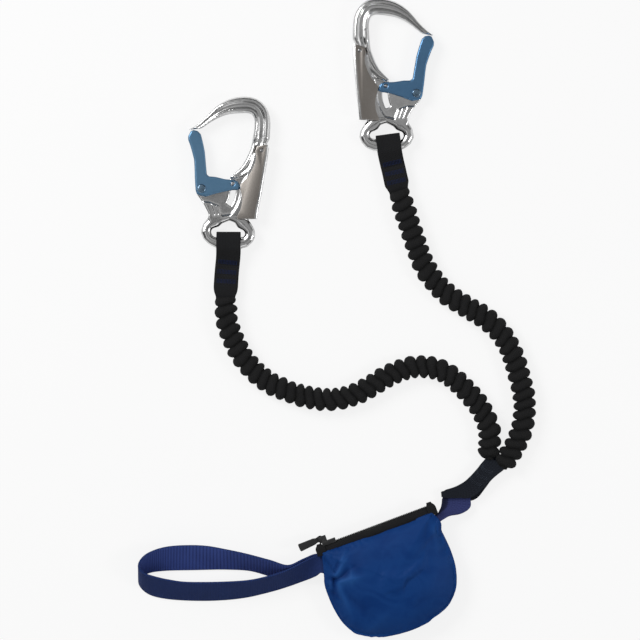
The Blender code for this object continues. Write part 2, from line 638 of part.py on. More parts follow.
# Webbing through the eye of each karabiner. The route runs from the eye bar down to
# the sleeve, and the profile gives reach beyond the bar and height off the middle.
LEFT_STRAP_PLAN = [(228.5, 243.0), (228.3, 256.0), (226.8, 272.0), (225.8, 287.0), (225.5, 297.0)]
RIGHT_STRAP_PLAN = [(388.9, 145.3), (389.8, 152.0), (391.6, 161.0), (394.0, 171.0), (396.2, 181.0), (398.6, 190.5)]
EYE_BAR_TOP_SHARE = 0.035
STRAP_OPEN_LENGTH = 0.0165
STRAP_TAIL_SHARE = 0.62
WRAP_PROFILE_SHARES = [
    (1.0, 0.0), (0.90, 0.52), (0.62, 0.88), (0.05, 1.0),
]
CLOSING_PROFILE_SHARES = [(0.30, 0.96), (0.58, 0.58), (0.86, 0.14), (1.0, 0.0)]


def path_point(route, distance):
    """Place and heading at a distance along a plan route; it runs on straight at its start."""
    points = [plan(x, y) for x, y in route]
    if distance <= 0.0:
        heading = (points[1] - points[0]).normalized()
        return points[0] + heading * distance, heading
    for first, second in zip(points, points[1:]):
        step = (second - first).length
        if distance <= step or second is points[-1]:
            heading = (second - first).normalized()
            return first + heading * min(distance, step), heading
        distance -= step


def route_length(route):
    points = [plan(x, y) for x, y in route]
    return sum((b - a).length for a, b in zip(points, points[1:]))


def build_end_loop(side, route):
    """The sewn loop: lower ply, wrap round the eye bar, upper ply back to the sleeve."""
    ply = (WEBBING_THICKNESS + PLY_GAP) / 2
    wrap_height = KARABINER_AXIS_HEIGHT - WEBBING_THICKNESS / 2 - FLOOR_CLEARANCE
    wrap_reach = EYE_BAR_TOP_SHARE * KARABINER_LENGTH + PLY_GAP + EYE_WRAP_SLACK + WEBBING_THICKNESS / 2
    length = route_length(route)
    upper = [(-reach * wrap_reach, rise * wrap_height) for reach, rise in WRAP_PROFILE_SHARES]
    upper += [(reach * STRAP_OPEN_LENGTH, ply + (wrap_height - ply) * rise)
              for reach, rise in CLOSING_PROFILE_SHARES]
    sewn = length - STRAP_OPEN_LENGTH
    upper += [(STRAP_OPEN_LENGTH + sewn * share, ply) for share in (0.4, 0.75, 1.0)]
    profile = [(place, -rise) for place, rise in upper[:0:-1]] + upper
    taper_start = STRAP_OPEN_LENGTH + sewn * 0.75
    low_rail, high_rail = [], []
    for distance, rise in profile:
        centre, heading = path_point(route, distance)
        aside = Vector((-heading.y, heading.x, 0.0))
        width = END_LOOP_WIDTH
        if distance > taper_start:
            width *= STRAP_TAIL_SHARE
        centre.z = KARABINER_AXIS_HEIGHT + rise
        low_rail.append(centre - aside * width / 2)
        high_rail.append(centre + aside * width / 2)
    add_mesh(side + "_end_loop", ribbon(low_rail, high_rail, WEBBING_THICKNESS), "black_webbing")


# Routes of the elastic arms, from the end loop to the strap that joins them.
LEFT_ARM_PLAN = [
    (225.5, 297.4), (225.6, 306.0), (226.2, 315.0), (228.1, 325.5), (231.8, 336.0), (236.4, 345.5),
    (241.5, 355.2), (248.0, 363.9), (255.3, 372.1), (263.0, 378.4), (271.9, 384.2), (281.6, 388.7),
    (291.8, 392.7), (301.8, 395.8), (312.0, 397.8), (322.3, 399.2), (332.4, 399.4), (343.0, 398.0),
    (353.5, 394.8), (363.0, 390.5), (371.7, 385.6), (380.2, 380.3), (388.9, 375.4), (398.6, 371.2),
    (408.2, 368.0), (418.3, 366.7), (428.6, 367.1), (438.3, 369.5), (447.4, 373.9), (455.3, 379.8),
    (462.9, 387.0), (470.0, 394.3), (476.3, 401.8), (481.6, 410.0), (486.2, 419.4), (489.2, 429.5),
    (489.8, 439.9), (488.7, 449.2), (485.5, 458.7),
]
RIGHT_ARM_PLAN = [
    (398.7, 190.9), (401.3, 199.0), (404.2, 208.0), (407.0, 217.5), (410.5, 228.0), (414.4, 239.8),
    (418.2, 251.0), (422.2, 261.1), (426.8, 270.3), (432.5, 278.7), (439.1, 286.6), (446.5, 293.4),
    (454.4, 299.3), (463.0, 304.6), (471.6, 309.7), (480.1, 314.8), (488.0, 320.2), (495.2, 326.6),
    (501.4, 333.7), (506.6, 341.8), (511.1, 351.0), (514.7, 360.5), (517.6, 370.0), (520.2, 379.4),
    (522.6, 388.9), (524.2, 398.9), (524.6, 410.9), (523.4, 421.9), (520.8, 431.8), (517.0, 441.4),
    (512.2, 450.4), (506.6, 458.8), (500.4, 466.5),
]
ARM_END_RIBS_SHARES = (0.66, 0.80, 0.92)


def even_route(route, pitch):
    """A smooth curve through the route, cut at an even pitch near the asked one."""
    fine = smooth_points(route, len(route) * 8)
    points = [plan(x, y, ARM_HEIGHT) for x, y in fine]
    along = [0.0]
    for first, second in zip(points, points[1:]):
        along.append(along[-1] + (second - first).length)
    count = round(along[-1] / pitch)
    result, span = [], 0
    for k in range(count + 1):
        target = along[-1] * k / count
        while span < len(along) - 2 and along[span + 1] < target:
            span += 1
        share = (target - along[span]) / (along[span + 1] - along[span])
        result.append(points[span].lerp(points[span + 1], share))
    return result, along[-1]


def flat_tube(name, points, widths, resolution=2):
    """A flattened tube: a round curve made a mesh and pressed towards its own plane."""
    wire = add_wire(name, points, 1.0, "black_webbing", None, resolution, [width / 2 for width in widths])
    mesh = bpy.data.meshes.new_from_object(wire)
    bpy.data.objects.remove(wire, do_unlink=True)
    form = bmesh.new()
    form.from_mesh(mesh)
    bpy.data.meshes.remove(mesh)
    bmesh.ops.remove_doubles(form, verts=form.verts, dist=PLY_GAP / 10)
    for vertex in form.verts:
        vertex.co.z = ARM_HEIGHT + (vertex.co.z - ARM_HEIGHT) * ARM_FLATNESS_SHARE
    return form


def build_arm(side, route):
    """Gathered tubular webbing with one crest and one groove for each rib, and its core."""
    half_pitches, length = even_route(route, RIB_PITCH / 2)
    print(f"{side} arm, {length * 1000:.0f} mm long, {len(half_pitches) // 2} ribs")
    widths = []
    last = len(half_pitches) - 1
    for k in range(last + 1):
        width = ARM_WIDTH if k % 2 else ARM_GROOVE_WIDTH
        rib = min(k, last - k) // 2
        if rib < len(ARM_END_RIBS_SHARES):
            width *= ARM_END_RIBS_SHARES[rib]
        widths.append(width)
    sleeve = add_mesh(side + "_arm_sleeve", flat_tube(side + "_sleeve", half_pitches, widths), "black_webbing")
    middle = half_pitches[::2] if last % 2 == 0 else half_pitches[::2] + half_pitches[-1:]
    start = middle[0] + (middle[0] - middle[1]).normalized() * CUT_OVERRUN
    end = middle[-1] + (middle[-1] - middle[-2]).normalized() * CUT_OVERRUN
    route_points = [start] + middle + [end]
    bore = add_mesh(side + "_bore", flat_tube(side + "_bore", route_points, [ARM_BORE_WIDTH] * len(route_points)),
                    "black_webbing")
    boolean(sleeve, bore, "DIFFERENCE")
    add_mesh(side + "_arm_core", flat_tube(side + "_core", middle, [ARM_CORE_WIDTH] * len(middle)),
             "elastic_core")


# The black strap that the arms are sewn into. Each row: upper edge, lower edge and the
# height of the ply's middle as a share of the way from the arms to the link. The lower
# ply swings out to pass between the two plies of the blue loop from its side.
JUNCTION_UPPER_PLAN = [
    ((444.6, 489.6), (444.8, 498.0), 1.0), ((447.6, 488.4), (450.4, 498.2), 1.0),
    ((451.6, 487.6), (459.4, 497.9), 1.0), ((457.0, 485.8), (470.6, 497.6), 0.9),
    ((464.6, 481.4), (481.4, 490.2), 0.5), ((472.2, 474.2), (490.4, 480.6), 0.15),
    ((479.0, 466.4), (497.6, 474.4), 0.0), ((485.0, 459.5), (503.4, 469.9), 0.0),
]
JUNCTION_LOWER_PLAN = [
    ((444.6, 491.6), (444.8, 498.2), 1.0), ((450.0, 491.8), (450.4, 498.8), 1.0),
    ((458.0, 491.8), (458.6, 500.0), 1.0), ((467.0, 491.8), (468.4, 501.4), 1.0),
    ((472.4, 490.2), (477.6, 498.0), 0.95), ((473.6, 481.8), (485.4, 488.2), 0.45),
    ((475.0, 474.6), (490.8, 480.8), 0.12), ((479.0, 466.4), (497.6, 474.4), 0.0),
    ((485.0, 459.5), (503.4, 469.9), 0.0),
]
# The blue loop that links the junction to the pouch, from the link to the pouch.
CONNECTOR_PLAN = [
    ((446.6, 491.2), (469.4, 491.2), 0.0), ((446.4, 498.0), (470.6, 498.6), 0.0),
    ((445.4, 504.4), (470.2, 507.6), 0.0), ((442.6, 508.2), (461.6, 513.2), 0.22),
    ((440.4, 510.2), (450.4, 514.8), 0.52), ((438.2, 511.8), (443.4, 518.2), 0.80),
    ((434.6, 514.6), (439.4, 521.8), 1.0), ((429.8, 522.0), (438.4, 526.6), 1.0),
    ((427.2, 533.0), (437.2, 536.0), 1.0), ((425.0, 543.4), (437.0, 545.4), 1.0),
]


def link_heights():
    """Middles of the four plies where the two loops link, from the floor up."""
    step = WEBBING_THICKNESS + PLY_GAP
    first = WEBBING_THICKNESS / 2 + PLY_GAP / 2
    return [first + step * k for k in range(4)]


def hairpin(name, material, upper_rows, upper_heights, lower_rows, lower_heights):
    """Two plies that turn into each other over a round end, as one strap.
    The first row of each ply lies at the bend."""
    low_rail, high_rail = [], []
    for (first, second, _), height in zip(lower_rows[::-1], lower_heights[::-1]):
        low_rail.append(plan(*first, height))
        high_rail.append(plan(*second, height))
    near_a, near_b = plan(*upper_rows[0][0]), plan(*upper_rows[0][1])
    next_a, next_b = plan(*upper_rows[1][0]), plan(*upper_rows[1][1])
    heading = (near_a + near_b - next_a - next_b).normalized()
    middle = (upper_heights[0] + lower_heights[0]) / 2
    radius = (upper_heights[0] - lower_heights[0]) / 2
    for degrees in (-45.0, 0.0, 45.0):
        angle = math.radians(degrees)
        shift = heading * radius * math.cos(angle)
        lift = Vector((0.0, 0.0, middle + radius * math.sin(angle)))
        low_rail.append(near_a + shift + lift)
        high_rail.append(near_b + shift + lift)
    for (first, second, _), height in zip(upper_rows, upper_heights):
        low_rail.append(plan(*first, height))
        high_rail.append(plan(*second, height))
    add_mesh(name, ribbon(low_rail, high_rail, WEBBING_THICKNESS), material)


def between(start, end, rows):
    """Heights of a ply's rows, from the shares of the way between two levels."""
    return [start + (end - start) * share for _, _, share in rows]


def build_links():
    """The junction strap and the blue loop, each passed through the other."""
    heights = link_heights()
    ply = (WEBBING_THICKNESS + PLY_GAP) / 2
    upper = between(ARM_HEIGHT + ply, heights[3], JUNCTION_UPPER_PLAN)
    lower = between(ARM_HEIGHT - ply, heights[1], JUNCTION_LOWER_PLAN)
    hairpin("junction_strap", "black_webbing", JUNCTION_UPPER_PLAN, upper, JUNCTION_LOWER_PLAN, lower)
    upper = between(heights[2], POUCH_SEAM_HEIGHT + ply, CONNECTOR_PLAN)
    lower = between(heights[0], POUCH_SEAM_HEIGHT - ply, CONNECTOR_PLAN)
    hairpin("connector_loop", "blue_webbing", CONNECTOR_PLAN, upper, CONNECTOR_PLAN, lower)


# The tie-in loop stands on edge and leans. Each row: lower edge, its height, upper edge
# and its height, heights in shares of the webbing's width.
TIE_IN_PLAN = [
    ((349.0, 587.0), (348.0, 572.5), "upper"), ((337.0, 581.0), (336.5, 566.0), "upper"),
    ((322.4, 571.6), (322.4, 558.0), "upper"),
    ((316.0, 576.0), 0.40, (315.0, 557.5), 0.62), ((305.0, 580.5), 0.18, (303.0, 562.0), 0.72),
    ((290.0, 586.0), 0.036, (288.0, 568.5), 0.73), ((271.0, 591.8), 0.024, (270.0, 574.8), 0.75),
    ((250.0, 597.0), 0.024, (251.0, 579.0), 0.76), ((228.0, 599.8), 0.024, (229.0, 580.8), 0.76),
    ((205.0, 601.0), 0.024, (206.0, 581.5), 0.76), ((183.0, 600.4), 0.024, (184.0, 581.0), 0.76),
    ((165.0, 598.8), 0.024, (169.0, 578.9), 0.76), ((151.0, 595.0), 0.024, (158.0, 573.6), 0.76),
    ((141.8, 588.8), 0.024, (150.5, 566.5), 0.74), ((137.8, 581.0), 0.024, (146.6, 559.5), 0.70),
    ((141.0, 575.2), 0.024, (147.0, 554.2), 0.66), ((150.0, 571.8), 0.024, (152.5, 550.4), 0.64),
    ((164.0, 571.0), 0.024, (165.0, 546.8), 0.62), ((183.0, 570.5), 0.024, (184.0, 544.9), 0.60),
    ((205.0, 570.0), 0.024, (206.0, 545.4), 0.62), ((228.0, 569.6), 0.024, (228.0, 549.2), 0.70),
    ((250.0, 571.0), 0.024, (250.0, 554.0), 0.76), ((270.0, 576.4), 0.024, (270.0, 559.4), 0.76),
    ((290.0, 582.0), 0.024, (288.0, 564.6), 0.71), ((305.0, 577.0), 0.09, (303.0, 558.4), 0.62),
    ((316.0, 574.0), 0.30, (315.0, 555.8), 0.50),
    ((322.4, 571.6), (322.4, 558.0), "lower"), ((337.0, 581.0), (336.5, 566.0), "lower"),
    ((349.0, 587.0), (348.0, 572.5), "lower"),
]


def build_tie_in_loop():
    ply = (WEBBING_THICKNESS + PLY_GAP) / 2
    seam_plies = {"upper": POUCH_SEAM_HEIGHT + ply, "lower": POUCH_SEAM_HEIGHT - ply}
    rows = []
    for row in TIE_IN_PLAN:
        if len(row) == 3:
            low, high, name = row
            low_height = high_height = seam_plies[name]
        else:
            low, low_share, high, high_share = row
            low_height, high_height = low_share * TIE_IN_WIDTH, high_share * TIE_IN_WIDTH
        rows.append((*plan(*low, low_height), *plan(*high, high_height)))
    held = sum(len(row) == 3 for row in TIE_IN_PLAN) // 2 - 1
    free = rows[held:len(rows) - held]
    rows[held:len(rows) - held] = smooth_points(free, len(free) * 2 - 1)
    low_rail = [Vector(row[:3]) for row in rows]
    high_rail = [Vector(row[3:]) for row in rows]
    add_mesh("tie_in_loop", ribbon(low_rail, high_rail, WEBBING_THICKNESS), "blue_webbing")


# Zip. Its own frame runs along the chain from the slider's end, +Y out of the pouch.
ZIP_START_PLAN = (320.0, 546.4)
ZIP_END_PLAN = (429.0, 505.8)
STOP_LENGTH = 0.0022
STOP_WALL = 0.0008
TAPE_RUN_IN_SHARE = 0.25
PULL_REST_DEG = 183.5
PULL_TIP_SHARE = 1.2
LUG_THICKNESS = 0.0012


def zip_length():
    return (plan(*ZIP_END_PLAN) - plan(*ZIP_START_PLAN)).length


def zip_angle():
    heading = plan(*ZIP_END_PLAN) - plan(*ZIP_START_PLAN)
    return math.atan2(heading.y, heading.x)


def zip_to_world(along, out, height=0.0):
    start = plan(*ZIP_START_PLAN)
    angle = zip_angle()
    return Vector((start.x + along * math.cos(angle) - out * math.sin(angle),
                   start.y + along * math.sin(angle) + out * math.cos(angle), POUCH_SEAM_HEIGHT + height))


# Outline of the pouch from the left mouth round the bottom to the right mouth. The last
# number is how far the two shells part there, as a share of the mouth.
POUCH_PLAN = [
    (324.2, 574.2, 1.0), (325.0, 584.0, 0.2), (328.4, 595.0, 0.0), (334.4, 608.4, 0.0),
    (343.4, 622.2, 0.0), (355.6, 631.8, 0.0), (372.0, 635.6, 0.0), (392.0, 633.2, 0.0),
    (412.0, 627.6, 0.0), (430.0, 618.6, 0.0), (444.0, 608.6, 0.0), (451.8, 597.6, 0.0),
    (455.8, 584.0, 0.0), (455.2, 568.0, 0.0), (451.4, 553.6, 0.0), (446.0, 540.6, 0.0),
    (441.0, 530.4, 0.4), (439.8, 521.4, 1.0),
]
POUCH_CENTRE_PLAN = (393.0, 576.0)
ZIP_EDGE_POINTS = 8
CROWN_SHARES = [(1.0, 0.0), (0.93, 0.34), (0.80, 0.62), (0.58, 0.86), (0.32, 0.98), (0.12, 1.0)]
FLOOR_SHARES = [(1.0, 0.0), (0.93, 0.40), (0.80, 0.72), (0.62, 0.95), (0.44, 1.0), (0.12, 1.0)]


def pouch_outline():
    """Outline points in metres with the shells' parting, closed by the zip's edge."""
    points = [(plan(x, y), parting) for x, y, parting in POUCH_PLAN]
    run = zip_length()
    reach = -(ZIP_CHAIN_HEIGHT / 2 + ZIP_TAPE_WIDTH)
    for k in range(ZIP_EDGE_POINTS):
        share = 1.0 - k / (ZIP_EDGE_POINTS - 1)
        place = zip_to_world(run * share, reach)
        points.append((Vector((place.x, place.y, 0.0)), 1.0))
    return points


def build_shell(name, side, rise, shares):
    """One half of the pouch: a crowned sheet of even wall, parted at the mouths."""
    centre = plan(*POUCH_CENTRE_PLAN)
    outline = pouch_outline()
    form = bmesh.new()
    skins = []
    for wall in (0.0, POUCH_WALL):
        rings = []
        for ring_share, rise_share in shares:
            ring = []
            for edge, parting in outline:
                flat = (edge - centre)
                inset = wall * (1.0 - rise_share) if rise_share else 0.0
                place = centre + flat * ring_share - flat.normalized() * inset
                lift = POUCH_SEAM_GAP / 2 + (POUCH_MOUTH_HEIGHT - POUCH_SEAM_GAP) / 2 * parting * ring_share ** 3
                height = lift + POUCH_WALL + (rise - lift - POUCH_WALL) * rise_share - wall
                ring.append(form.verts.new((place.x, place.y, POUCH_SEAM_HEIGHT + side * height)))
            rings.append(ring)
        skins.append(rings)
    outer, inner = skins
    count = len(outline)
    for rings in skins:
        for first, second in zip(rings, rings[1:]):
            for k in range(count):
                form.faces.new((first[k], first[(k + 1) % count], second[(k + 1) % count], second[k]))
        form.faces.new(rings[-1])
    for k in range(count):
        form.faces.new((outer[0][k], outer[0][(k + 1) % count], inner[0][(k + 1) % count], inner[0][k]))
    add_mesh(name, form, "blue_nylon")


def build_absorber():
    """The tear webbing, folded flat in the pouch between the two loops' ends."""
    start, end = plan(*PACK_START_PLAN), plan(*PACK_END_PLAN)
    along = (end - start).normalized()
    aside = Vector((-along.y, along.x, 0.0)) * PACK_WIDTH / 2
    pitch = PACK_THICKNESS + PLY_GAP
    low_rail, high_rail = [], []
    first_height = POUCH_SEAM_HEIGHT - pitch * (PACK_PLIES - 1) / 2
    for ply in range(PACK_PLIES):
        ends = [start, end] if ply % 2 == 0 else [end, start]
        height = first_height + pitch * ply
        for place in ends:
            low_rail.append(place - aside + Vector((0.0, 0.0, height)))
            high_rail.append(place + aside + Vector((0.0, 0.0, height)))
        if ply < PACK_PLIES - 1:
            out = along if ends[1] is end else -along
            bend = ends[1] + out * pitch / 2 + Vector((0.0, 0.0, height + pitch / 2))
            low_rail.append(bend - aside)
            high_rail.append(bend + aside)
    add_mesh("absorber_webbing", ribbon(low_rail, high_rail, PACK_THICKNESS), "blue_webbing")


def rounded_bar(x_low, x_high, y_low, y_high, corner):
    """A bar's outline with cut corners."""
    return [(x_low + corner, y_low), (x_high - corner, y_low), (x_high, y_low + corner),
            (x_high, y_high - corner), (x_high - corner, y_high), (x_low + corner, y_high),
            (x_low, y_high - corner), (x_low, y_low + corner)]


def build_chain(name, side, base):
    """One row of the zip's elements, as a comb along the edge of its tape."""
    half = ZIP_CHAIN_HEIGHT / 2
    run = zip_length()
    teeth = int(run / ZIP_TOOTH_PITCH)
    outline = [(0.0, -half), (teeth * ZIP_TOOTH_PITCH, -half)]
    for tooth in range(teeth, 0, -1):
        high, low = tooth * ZIP_TOOTH_PITCH, (tooth - 1) * ZIP_TOOTH_PITCH
        step = ZIP_TOOTH_PITCH / 5
        outline += [(high - step, half - ZIP_TOOTH_DEPTH), (high - step * 2, half),
                    (low + step, half), (low, half - ZIP_TOOTH_DEPTH)]
    inner, outer = ZIP_CHAIN_GAP / 2, ZIP_CHAIN_GAP / 2 + ZIP_CHAIN_DEPTH
    heights = sorted((side * inner, side * outer))
    add_mesh(name, prism(outline, *heights), "black_zip", base, smooth_deg=20.0)


def build_tape(name, side):
    """A strip of zip tape from its row of elements down to the edge of the shell."""
    run = zip_length()
    near = ZIP_CHAIN_GAP / 2 + ZIP_CHAIN_DEPTH + PLY_GAP + ZIP_TAPE_THICKNESS / 2
    far = POUCH_MOUTH_HEIGHT / 2 + POUCH_WALL / 2
    low_rail, high_rail = [], []
    steps = 6
    for k in range(steps + 1):
        along = run * k / steps
        low_rail.append(zip_to_world(along, -ZIP_CHAIN_HEIGHT / 4, side * near))
        high_rail.append(zip_to_world(along, -ZIP_CHAIN_HEIGHT / 2 - ZIP_TAPE_WIDTH + PLY_GAP * 2, side * far))
    add_mesh(name, ribbon(low_rail, high_rail, ZIP_TAPE_THICKNESS), "black_zip")


def build_stop(name, along, base):
    """A clip that closes one end of the chain over both rows."""
    half = ZIP_CHAIN_HEIGHT / 2
    outer = ZIP_CHAIN_GAP / 2 + ZIP_CHAIN_DEPTH
    outline = rounded_bar(along, along + STOP_LENGTH, -half, half, STOP_WALL / 2)
    add_mesh(name, prism(outline, -outer, outer), "black_zip", base)


def build_slider(base):
    """Slider of two wings and a post that runs between the rows, side rails and lugs for the pull."""
    half = ZIP_CHAIN_HEIGHT / 2
    wing_low, wing_high = half + SLIDER_CLEARANCE, half + SLIDER_CLEARANCE + SLIDER_WING
    x_low, x_high = -SLIDER_LENGTH / 2, SLIDER_LENGTH / 2
    slim = ZIP_CHAIN_GAP / 2 + ZIP_CHAIN_DEPTH + PLY_GAP - SLIDER_CLEARANCE
    hinge = slider_hinge()
    parts = [
        ("outer_wing", (x_low, x_high, wing_low, wing_high), (-SLIDER_WIDTH / 2, SLIDER_WIDTH / 2)),
        ("inner_wing", (x_low, x_high, -wing_high, -wing_low), (-slim, slim)),
        ("post", (-SLIDER_LENGTH / 6, SLIDER_LENGTH / 6, -wing_high + SLIDER_WING / 2,
                  wing_low + SLIDER_WING / 2), (-SLIDER_POST / 2, SLIDER_POST / 2)),
    ]
    lug_inner = PULL_THICKNESS / 2 + SLIDER_CLEARANCE
    lug_reach = LUG_THICKNESS * 1.4
    for name, side in (("front_lug", 1), ("back_lug", -1)):
        levels = sorted((side * lug_inner, side * (lug_inner + LUG_THICKNESS)))
        parts.append((name, (hinge[0] - lug_reach, hinge[0] + lug_reach * 3, wing_low + SLIDER_WING / 2,
                             hinge[1] + lug_reach), levels))
    rail_inner = ZIP_CHAIN_GAP / 2 + ZIP_CHAIN_DEPTH + SLIDER_CLEARANCE
    rail_low = SLIDER_CLEARANCE - ZIP_CHAIN_HEIGHT / 4
    for name, side in (("front_rail", 1), ("back_rail", -1)):
        levels = sorted((side * rail_inner, side * SLIDER_WIDTH / 2))
        parts.append((name, (x_low, x_high, rail_low, wing_low + SLIDER_WING / 2), levels))
    slider = None
    for name, (low_x, high_x, low_y, high_y), (low_z, high_z) in parts:
        form = prism(rounded_bar(low_x, high_x, low_y, high_y, SLIDER_WING / 4), low_z, high_z)
        if slider is None:
            slider = add_mesh("zip_slider", form, "black_zip", base)
        else:
            boolean(slider, guide("slider_" + name, form, slider), "UNION")
    reach = lug_inner + LUG_THICKNESS / 2
    pin = turned([(PULL_PIN_RADIUS, -reach), (PULL_PIN_RADIUS, reach)], ROUND_SIDES // 2, (*hinge, 0.0))
    boolean(slider, guide("slider_pin", pin, slider), "UNION")
    slider.location = (slider_rest(), 0.0, 0.0)


def slider_rest():
    return STOP_LENGTH + SLIDER_CLEARANCE + SLIDER_LENGTH / 2


def slider_hinge():
    """The pull's axis on the slider, clear of the outer wing."""
    eye = PULL_PIN_RADIUS * 2 + SLIDER_CLEARANCE + SLIDER_WING / 2
    out = ZIP_CHAIN_HEIGHT / 2 + SLIDER_CLEARANCE + SLIDER_WING + SLIDER_CLEARANCE + eye
    return (-SLIDER_LENGTH / 2, out)


def build_pull(base):
    """The flat pull tab with its eye round the slider's pin."""
    eye = PULL_PIN_RADIUS * 2 + SLIDER_CLEARANCE + SLIDER_WING / 2
    hinge = slider_hinge()
    neck, tip = PULL_WIDTH * 0.36, PULL_WIDTH * PULL_TIP_SHARE / 2
    outline = arc_points((0.0, 0.0), eye, 90.0, -90.0, 6)
    outline += [(-PULL_LENGTH * 0.18, -neck), (-PULL_LENGTH * 0.30, -PULL_WIDTH / 2),
                (-PULL_LENGTH * 0.97, -tip), (-PULL_LENGTH, -tip * 0.7), (-PULL_LENGTH, tip * 0.7),
                (-PULL_LENGTH * 0.97, tip), (-PULL_LENGTH * 0.30, PULL_WIDTH / 2), (-PULL_LENGTH * 0.18, neck)]
    half = PULL_THICKNESS / 2
    pull = add_mesh("zip_pull", prism(outline, -half, half, half / 3), "black_zip", base)
    pull.location = (slider_rest() + hinge[0], hinge[1], 0.0)
    pull.rotation_euler = (0.0, 0.0, math.radians(PULL_REST_DEG - 180.0))
    wall = PULL_PIN_RADIUS + PIVOT_CLEARANCE
    hole = turned([(wall, -PULL_THICKNESS), (wall, PULL_THICKNESS)], ROUND_SIDES // 2)
    boolean(pull, guide("pull_hole", hole, pull), "DIFFERENCE")


def build_pouch():
    build_shell("pouch_front", 1, POUCH_FRONT_RISE, CROWN_SHARES)
    build_shell("pouch_back", -1, POUCH_BACK_DROP, FLOOR_SHARES)
    build_absorber()
    build_tape("zip_tape_front", 1)
    build_tape("zip_tape_back", -1)
    base = add_empty("zip", zip_to_world(0.0, 0.0), (0.0, 0.0, zip_angle()))
    build_chain("zip_chain_front", 1, base)
    build_chain("zip_chain_back", -1, base)
    build_stop("zip_top_stop", -STOP_LENGTH - SLIDER_CLEARANCE, base)
    build_stop("zip_end_stop", int(zip_length() / ZIP_TOOTH_PITCH) * ZIP_TOOTH_PITCH + SLIDER_CLEARANCE, base)
    build_slider(base)
    build_pull(base)


LEFT_EYE_PLAN = (228.5, 243.0)
RIGHT_EYE_PLAN = (385.5, 145.5)
RIGHT_TURN_DEG = -4.5

clear_scene()
build_karabiner("left", plan(*LEFT_EYE_PLAN, KARABINER_AXIS_HEIGHT), (0.0, 0.0, 0.0))
build_karabiner("right", plan(*RIGHT_EYE_PLAN, KARABINER_AXIS_HEIGHT), (0.0, math.pi, math.radians(RIGHT_TURN_DEG)))
build_end_loop("left", LEFT_STRAP_PLAN)
build_end_loop("right", RIGHT_STRAP_PLAN)
build_arm("left", LEFT_ARM_PLAN)
build_arm("right", RIGHT_ARM_PLAN)
build_links()
build_tie_in_loop()
build_pouch()
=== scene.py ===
import math
from functools import partial

import bmesh
import bpy
import numpy as np
from mathutils import Matrix, Vector, noise


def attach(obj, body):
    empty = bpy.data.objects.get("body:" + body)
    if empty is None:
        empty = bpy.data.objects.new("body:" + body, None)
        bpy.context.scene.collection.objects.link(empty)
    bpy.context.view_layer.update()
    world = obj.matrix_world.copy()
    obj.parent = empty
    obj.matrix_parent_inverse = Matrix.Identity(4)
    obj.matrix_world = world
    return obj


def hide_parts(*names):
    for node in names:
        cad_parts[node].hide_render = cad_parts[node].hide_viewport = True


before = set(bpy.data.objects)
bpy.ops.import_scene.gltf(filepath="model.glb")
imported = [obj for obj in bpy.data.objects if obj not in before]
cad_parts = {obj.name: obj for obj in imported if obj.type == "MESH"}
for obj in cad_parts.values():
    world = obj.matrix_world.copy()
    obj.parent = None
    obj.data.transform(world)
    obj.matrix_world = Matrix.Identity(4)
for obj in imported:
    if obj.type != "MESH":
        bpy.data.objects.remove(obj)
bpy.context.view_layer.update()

# The lanyard lies flat as it was photographed: plan units are picture units from the upper left.
layout = {
    "unit": 0.00085, "centreX": 322, "centreY": 318,
    "armHeight": 0.007, "seamHeight": 0.013, "karabinerHeight": 0.0066,
    "leftEye": (228.5, 243.0), "rightEye": (385.5, 145.5), "rightTurn": -4.5,
    "weld": 1e-6, "flatAngle": 1.0,  # what counts as one point, and as one flat face in degrees
}
upwards = Vector((0.0, 0.0, 1.0))


def spot(x, y, z=0.0):
    return Vector(((x - layout["centreX"]) * layout["unit"], (layout["centreY"] - y) * layout["unit"], z))


def clamp(value, low=0.0, high=1.0):
    return max(low, min(high, value))


def ease(value):
    value = clamp(value)
    return value * value * (3.0 - 2.0 * value)


def waver(x, y=0.0, z=0.0):
    return noise.noise(Vector((x, y, z)))


# a quarter turn to the left in plan
def leftOf(ahead):
    return Vector((-ahead.y, ahead.x, 0.0))


def turnTo(alongX, alongY, alongZ):
    return Matrix((alongX, alongY, alongZ)).transposed().to_4x4()


# a smooth curve through control points, read at any distance along it
class Route:
    def __init__(self, points, steps=16):
        control = [Vector(p) for p in points]
        control = [control[0] * 2 - control[1]] + control + [control[-1] * 2 - control[-2]]
        self.fine = []
        for a, b, c, d in zip(control, control[1:], control[2:], control[3:]):
            for step in range(steps):
                t = step / steps
                self.fine.append(0.5 * ((2 * b) + (c - a) * t + (2 * a - 5 * b + 4 * c - d) * t * t
                                        + (3 * b - 3 * c + d - a) * t * t * t))
        self.fine.append(control[-2].copy())
        self.along = [0.0]
        for first, second in zip(self.fine, self.fine[1:]):
            self.along.append(self.along[-1] + (second - first).length)
        self.length = self.along[-1]

    def at(self, distance):
        distance = clamp(distance, 0.0, self.length)
        k = int(np.searchsorted(self.along, distance, side="right")) - 1
        k = min(k, len(self.fine) - 2)
        span = self.along[k + 1] - self.along[k]
        return self.fine[k].lerp(self.fine[k + 1], (distance - self.along[k]) / span if span else 0.0)

    def heading(self, distance, reach=0.0015):
        return (self.at(distance + reach) - self.at(distance - reach)).normalized()


# a place between the points of a list, from 0 at its first to 1 at its last
def readAt(points, share):
    place = share * (len(points) - 1)
    k = min(int(place), len(points) - 2)
    return points[k].lerp(points[k + 1], place - k)


